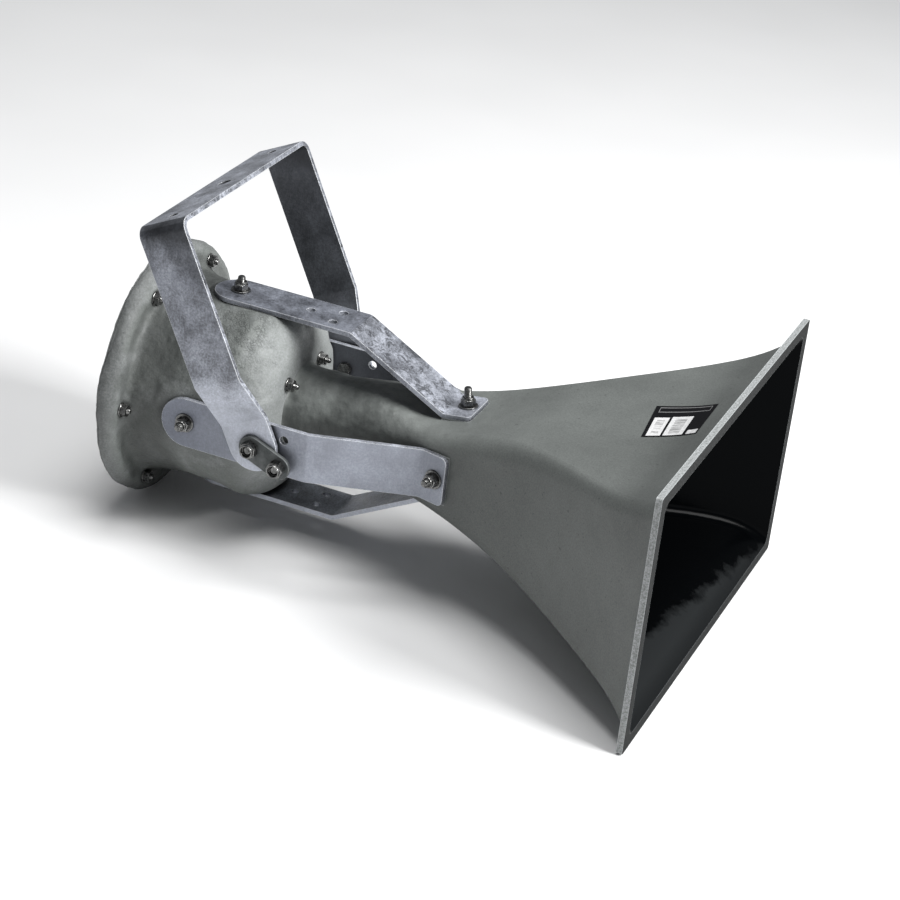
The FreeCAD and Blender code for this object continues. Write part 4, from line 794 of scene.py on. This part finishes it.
class HORN_OT_materials(bpy.types.Operator):
    """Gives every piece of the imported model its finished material"""
    bl_idname = "horn.materials"
    bl_label = "Finish the packed pieces"

    def execute(self, context):
        for part in frame["record"]["subparts"]:
            piece = NODES[part["node"]]
            piece.data.materials.clear()
            piece.data.materials.append(material_for(part["material_slot"]))
        self.line_horn()
        return {"FINISHED"}

    def line_horn(self):
        """Gives the faces inside the horn and the front of the mouth flange their own material."""
        mesh = NODES["horn"].data
        mesh.materials.append(material_for("horn_inside"))
        for face in mesh.polygons:
            outward = Vector((face.center.x, 0, face.center.z - sizes().axis_height)).normalized()
            if face.normal.y < -0.9 or face.normal.dot(outward) < -0.02:
                face.material_index = 1


class HORN_OT_housing(bpy.types.Operator):
    """Lays up the lumpy driver housing, its rear cover and the putty round the neck"""
    bl_idname = "horn.housing"
    bl_label = "Lay up the housing"

    def execute(self, context):
        s = sizes()
        seats = [np.array(at(*point)) for point, way in throat_spots() + flange_spots()]

        def calm(points):
            """One where the surface is free. Zero within 27 mm of a strap's middle as far back as the waist,
            within 9 mm of a nut's middle, and at the joint with the neck."""
            x, y, z = points[:, 0], points[:, 1] - s.mouth_back, points[:, 2] - s.axis_height
            across = np.minimum(np.abs(x), np.abs(z))
            free = np.maximum(ramped(across, 0.027, 0.037), ramped(y, 0.543, 0.553))
            for seat in seats:
                free = free * ramped(np.linalg.norm(points - seat, axis=1), 0.009, 0.016)
            return free * ramped(y, s.housing_front - 0.001, s.housing_front + 0.004)

        def shrunk(points, shrink):
            """Points drawn in toward the axis."""
            points[:, 0] *= shrink
            points[:, 2] = (points[:, 2] - s.axis_height) * shrink + s.axis_height
            return points

        def rounded(points):
            """Rounds the front corner of the flange with a wide arc."""
            reach = np.hypot(points[:, 0], points[:, 2] - s.axis_height)
            across = reach - (s.flange_radius - s.flange_round)
            back = points[:, 1] - s.mouth_back - (s.flange_front + s.flange_round)
            away = np.hypot(across, back)
            outside = (across > 0) & (back < 0) & (away > s.flange_round)
            scale = np.where(outside, s.flange_round / np.maximum(away, 1e-6), 1.0)
            points[:, 1] += back * (scale - 1)
            return shrunk(points, (reach + across * (scale - 1)) / reach)

        def tucked(points):
            """Draws the cover's edge in under the lap of the shell's flange."""
            reach = np.hypot(points[:, 0], points[:, 2] - s.axis_height)
            under = 1 - ramped(points[:, 1] - s.mouth_back, s.lap_back - 0.002, s.lap_back)
            return shrunk(points, 1 - under * np.maximum(reach - (s.flange_radius - 0.0022), 0) / reach)

        outside = mm("flange_radius")
        lap = band("flange_lap", outside - 11, outside - 0.3, mm("flange_front") + 4, mm("lap_back"))
        shell = hand_laid("housing_shell", [NODES["front_shell"].data, NODES["cover_gasket"].data, lap],
                          voxel=0.0019, rounds=8, coarse=s.shell_lump, fine=0.0008, calm=calm, form=rounded)
        new_piece("housing_shell", shell, "housing_gelcoat", SPEAKER, ["front_shell", "cover_gasket"])
        cover = hand_laid("housing_cover", [NODES["rear_cover"].data],
                          voxel=0.0018, rounds=6, coarse=s.cover_lump, fine=0.0006, calm=calm, form=tucked)
        new_piece("housing_cover", soften(cover), "housing_gelcoat", SPEAKER, ["rear_cover"])
        new_piece("neck_laminate", soften(self.neck_laminate()), "horn_gelcoat", SPEAKER)
        return {"FINISHED"}

    def neck_laminate(self):
        """A lumpy skin over the neck that ends in a fillet of putty against the housing."""
        s = sizes()
        tree = horn_tree()
        ways = [Vector((math.cos(a), 0, math.sin(a))) for a in turns(144)]
        start, end = 0.292, s.housing_front
        fade, reach, tuck = 0.035, 0.0085, 0.006
        backs = np.linspace(start, end, 92)
        radii = np.empty((len(backs), len(ways)))
        for j, back in enumerate(backs):
            middle = at(0, 0, 0) + BACK * min(back, end - 0.0005)
            for i, way in enumerate(ways):
                radii[j, i] = (tree.ray_cast(middle + way * 0.2, -way)[0] - middle).length
        window = np.ones(15) / 15
        for i in range(len(ways)):
            padded = np.pad(radii[:, i], 7, mode="reflect", reflect_type="odd")
            radii[:, i] = np.maximum(np.convolve(padded, window, mode="valid"), radii[:, i] - 0.0004)
        rows = []
        for j, back in enumerate(backs):
            middle = at(0, 0, 0) + BACK * back
            shown = min(1.0, (back - start) / fade)
            drop = max(0.0, back - (end - reach)) / reach
            putty = s.putty * (1 - math.sqrt(1 - min(drop, 1.0) ** 2))
            row = []
            for i, way in enumerate(ways):
                point = middle + way * radii[j, i]
                lump = 0.5 + 0.5 * noise.noise(point * 60) + 0.35 * noise.noise(point * 150)
                fillet = putty * (0.75 + 0.25 * noise.noise(point * 90))
                row.append(point + way * (shown * 0.0012 * lump - (1 - shown) * 0.0009 + fillet))
            rows.append(row)
        first = []
        for point in rows[0]:
            inward = at(0, 0, 0) + BACK * (point.y - s.mouth_back) - point
            first.append(point + inward.normalized() * tuck)
        return rings("neck_laminate", [first] + rows, False)


class HORN_OT_hardware(bpy.types.Operator):
    """Copies the nuts, washers and bolts on to their places"""
    bl_idname = "horn.hardware"
    bl_label = "Fit the hardware"

    def execute(self, context):
        noise.seed_set(sizes().noise_seed)
        rear = strap_spots(mm("rear_bolt"), SIDES)
        front = pad_spots()
        pivot = strap_spots(mm("pivot_bolt"), ("left", "right"))
        lock = strap_spots(mm("lock_bolt"), ("left", "right"), mm("lock_drop"))
        flange, throat = flange_spots(), throat_spots()
        bar, thin, small = mm("bar_thickness"), 1.6, 1.4
        radius, side_radius, small_radius = mm("strap_shank"), mm("side_shank"), mm("small_shank")
        flats, side_flats, small_flats = mm("strap_nut"), mm("side_nut"), mm("small_nut")
        fit("strap_lock_nuts", ["strap_rear_nuts", "strap_front_nuts", "pivot_nuts", "lock_nuts"],
            (lock_nut("nut", flats, 8.5, radius), lifted(rear + front, bar + thin)),
            (lock_nut("side_nut", side_flats, 10.0, 4.8), lifted(pivot + lock, 16.0)))
        fit("strap_washers", ["strap_rear_washers", "strap_front_washers"],
            (washer("washer", 9.5, side_radius, thin), lifted(rear + front, bar)))
        fit("pivot_spacers", ["pivot_washers", "lock_spacers"],
            (washer("thick_washer", 9.5, side_radius, 2.4), lifted(pivot, bar)),
            (washer("sleeve", 5.7, side_radius, 7.2), lifted(lock, bar)))
        fit("strap_bolts", ["strap_rear_bolts", "strap_front_bolts", "pivot_bolts", "lock_bolts"],
            (hex_bolt("rear_bolt", radius, 23.9, flats), lifted(rear, -4.0)),
            (hex_bolt("front_bolt", radius, 25.1, flats), lifted(front[1:], -5.2)),
            (hex_bolt("top_bolt", radius, 30.0, flats), lifted(front[:1], -5.2)),
            (hex_bolt("side_bolt", side_radius, 22.6, flats), pivot + lock))
        fit("housing_nuts", ["flange_nuts", "throat_nuts", "flange_washers", "throat_washers"],
            (hexagon("small_nut", small_flats, 0, 5.6, small_radius), lifted(flange + throat, small)),
            (washer("small_washer", 7.2, 3.3, small), flange + throat))
        fit("housing_bolts", ["flange_bolts", "throat_studs"],
            (hex_bolt("flange_bolt", small_radius, 30.5, small_flats, thread=12.0, pitch=1.27),
             lifted(flange, -20.5)),
            (threaded("throat_stud", small_radius, 0, 29.5, 16.0, 1.27), lifted(throat, -17.5)))
        return {"FINISHED"}


class HORN_OT_label(bpy.types.Operator):
    """Sticks the blank label on the flare"""
    bl_idname = "horn.label"
    bl_label = "Stick the label"

    def execute(self, context):
        tree = horn_tree()
        rear_left, rear_right, front_right, front_left = map(Vector, LABEL)
        across, along = 24, 16
        vertices = []
        for j in range(along + 1):
            for i in range(across + 1):
                u, v = i / across, j / along
                flat = rear_left.lerp(rear_right, u).lerp(front_left.lerp(front_right, u), v)
                hit = tree.ray_cast(at(flat.x, flat.y, 200), Vector((0, 0, -1)))
                vertices.append(hit[0] + hit[1] * 0.00025)
        w = across + 1
        faces = [(j * w + i, j * w + i + 1, (j + 1) * w + i + 1, (j + 1) * w + i)
                 for j in range(along) for i in range(across)]
        mesh = bpy.data.meshes.new("blank_label")
        mesh.from_pydata(vertices, [], faces)
        layer = mesh.uv_layers.new(name="UVMap")
        for loop in mesh.loops:
            k = loop.vertex_index
            layer.data[loop.index].uv = ((k // w) / along, (k % w) / across)
        mesh.shade_smooth()
        piece = bpy.data.objects.new("blank_label", mesh)
        mesh.materials.append(self.vinyl())
        context.scene.collection.objects.link(piece)
        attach(piece, SPEAKER)
        return {"FINISHED"}

    def vinyl(self):
        """Black vinyl with a thin border and two empty pale panels."""
        g = Graph("label_vinyl")
        uv = g.add("ShaderNodeUVMap").outputs["UV"]
        place = g.axes(uv)

        def panel(left, right, low, high):
            return g.product(g.math("GREATER_THAN", place["X"], left), g.math("LESS_THAN", place["X"], right),
                             g.math("GREATER_THAN", place["Y"], low), g.math("LESS_THAN", place["Y"], high))

        pale = g.math("ADD", panel(0.07, 0.33, 0.04, 0.62), panel(0.375, 0.73, 0.04, 0.64), clamp=True)
        pale = g.math("ADD", pale, panel(0.79, 0.97, 0.04, 0.17), clamp=True)
        border = g.math("SUBTRACT", panel(0.08, 0.93, 0.79, 0.95), panel(0.09, 0.92, 0.81, 0.93), clamp=True)
        field = g.math("ADD", panel(0.13, 0.27, 0.10, 0.54), panel(0.45, 0.65, 0.10, 0.56), clamp=True)
        bars = g.add("ShaderNodeMapping", {"Vector": uv, "Scale": (3.0, 70.0, 1.0)}).outputs[0]
        marks = g.ramp(g.noise(1, 0, vector=bars), (0.46, 1.0), (0.54, 0.0))
        colour = g.mix(pale, (0.004, 0.004, 0.005, 1), g.ramp(g.noise(300), (0.3, 0.56), (0.7, 0.73)))
        colour = g.wash(colour, border, 0.35, (0.6, 0.6, 0.6, 1))
        colour = g.wash(colour, g.product(field, marks), 0.55, (0.05, 0.05, 0.05, 1))
        g.bsdf.inputs["Specular IOR Level"].default_value = 0.1
        return g.surface(Base_Color=colour, Roughness=0.5, Normal=g.bump(g.noise(700), 0.0001, 0.3))


class HORN_OT_bars(bpy.types.Operator):
    """Breaks the sharp edges of the straps, the yoke and the link plates"""
    bl_idname = "horn.bars"
    bl_label = "Ease the edges of the bars"

    def execute(self, context):
        for name in ["strap_" + side for side in SIDES] + ["yoke", "link_plate_left", "link_plate_right"]:
            bar = NODES[name]
            weld = bar.modifiers.new("weld", "WELD")
            weld.merge_threshold = 0.00001
            flat = bar.modifiers.new("flats", "DECIMATE")
            flat.decimate_type = "DISSOLVE"
            flat.angle_limit = math.radians(1)
            ease = bar.modifiers.new("ease", "BEVEL")
            ease.limit_method = "ANGLE"
            ease.angle_limit = math.radians(40)
            ease.width = sizes().bar_edge
            ease.segments = 2
            bar.data.shade_smooth()
            normals = bar.modifiers.new("shade", "WEIGHTED_NORMAL")
            normals.keep_sharp = True
        return {"FINISHED"}


class HORN_OT_studio(bpy.types.Operator):
    """Sets the floor, the soft lights and the camera"""
    bl_idname = "horn.studio"
    bl_label = "Set up the studio"

    def execute(self, context):
        scene = context.scene
        self.lay_floor(scene)
        self.hang_lamps(scene)
        self.aim_camera(scene)
        scene.view_settings.view_transform = "Standard"
        return {"FINISHED"}

    def lay_floor(self, scene):
        """A wide sheet of pale paper."""
        mesh = bpy.data.meshes.new("floor")
        corners = [(x * FLOOR_REACH, y * FLOOR_REACH, 0) for x, y in ((-1, -1), (1, -1), (1, 1), (-1, 1))]
        mesh.from_pydata(corners, [], [(0, 1, 2, 3)])
        floor = bpy.data.objects.new("floor", mesh)
        scene.collection.objects.link(floor)
        g = Graph("floor_paper")
        tone = g.ramp(g.noise(3, 2), (0.3, 0.77), (0.7, 0.80))
        mesh.materials.append(g.surface(Base_Color=tone, Roughness=0.9))

    def hang_lamps(self, scene):
        """A soft key ahead, a soft lamp overhead and a faint sky."""
        scene.world = bpy.data.worlds.new("studio")
        scene.world.use_nodes = True
        sky = scene.world.node_tree.nodes["Background"]
        sky.inputs["Color"].default_value = (0.93, 0.96, 1.0, 1)
        sky.inputs["Strength"].default_value = 0.19
        for name, (place, size, power) in LAMPS.items():
            light = bpy.data.lights.new(name, "AREA")
            light.size = size
            light.energy = power
            lamp = bpy.data.objects.new(name, light)
            lamp.location = place
            lamp.rotation_euler = (LAMP_TARGET - Vector(place)).to_track_quat("-Z", "Y").to_euler()
            scene.collection.objects.link(lamp)

    def aim_camera(self, scene):
        """A long lens, above and ahead of the horn's left side."""
        data = bpy.data.cameras.new("camera")
        data.sensor_width = 36
        data.lens = sizes().lens
        data.clip_start = 0.05
        camera = bpy.data.objects.new("camera", data)
        right, forward = CAMERA_RIGHT.normalized(), CAMERA_FORWARD.normalized()
        up = right.cross(forward).normalized()
        turn = Matrix((right, up, -forward)).transposed()
        camera.matrix_world = Matrix.Translation(at(*CAMERA_PLACE)) @ turn.to_4x4()
        scene.collection.objects.link(camera)
        scene.camera = camera


OPERATORS = [HORN_OT_materials, HORN_OT_bars, HORN_OT_housing, HORN_OT_hardware, HORN_OT_label,
             HORN_OT_studio]


class HORN_PT_panel(bpy.types.Panel):
    """Buttons for each step of the finish"""
    bl_idname = "HORN_PT_panel"
    bl_label = "Horn speaker"
    bl_space_type = "VIEW_3D"
    bl_region_type = "UI"
    bl_category = "Horn"

    def draw(self, context):
        for operator in OPERATORS:
            self.layout.operator(operator.bl_idname)


CLASSES = [HORN_PG_sizes, HORN_PG_colours] + OPERATORS + [HORN_PT_panel]


def register():
    for made in CLASSES:
        bpy.utils.register_class(made)
    bpy.types.Scene.horn_sizes = PointerProperty(type=HORN_PG_sizes)
    bpy.types.Scene.horn_colours = PointerProperty(type=HORN_PG_colours)


def unregister():
    del bpy.types.Scene.horn_colours
    del bpy.types.Scene.horn_sizes
    for made in reversed(CLASSES):
        bpy.utils.unregister_class(made)


def main():
    register()
    for operator in OPERATORS:
        group, name = operator.bl_idname.split(".")
        if getattr(getattr(bpy.ops, group), name)() != {"FINISHED"}:
            raise RuntimeError(operator.bl_label + " did not finish")


if __name__ == "__main__":
    main()
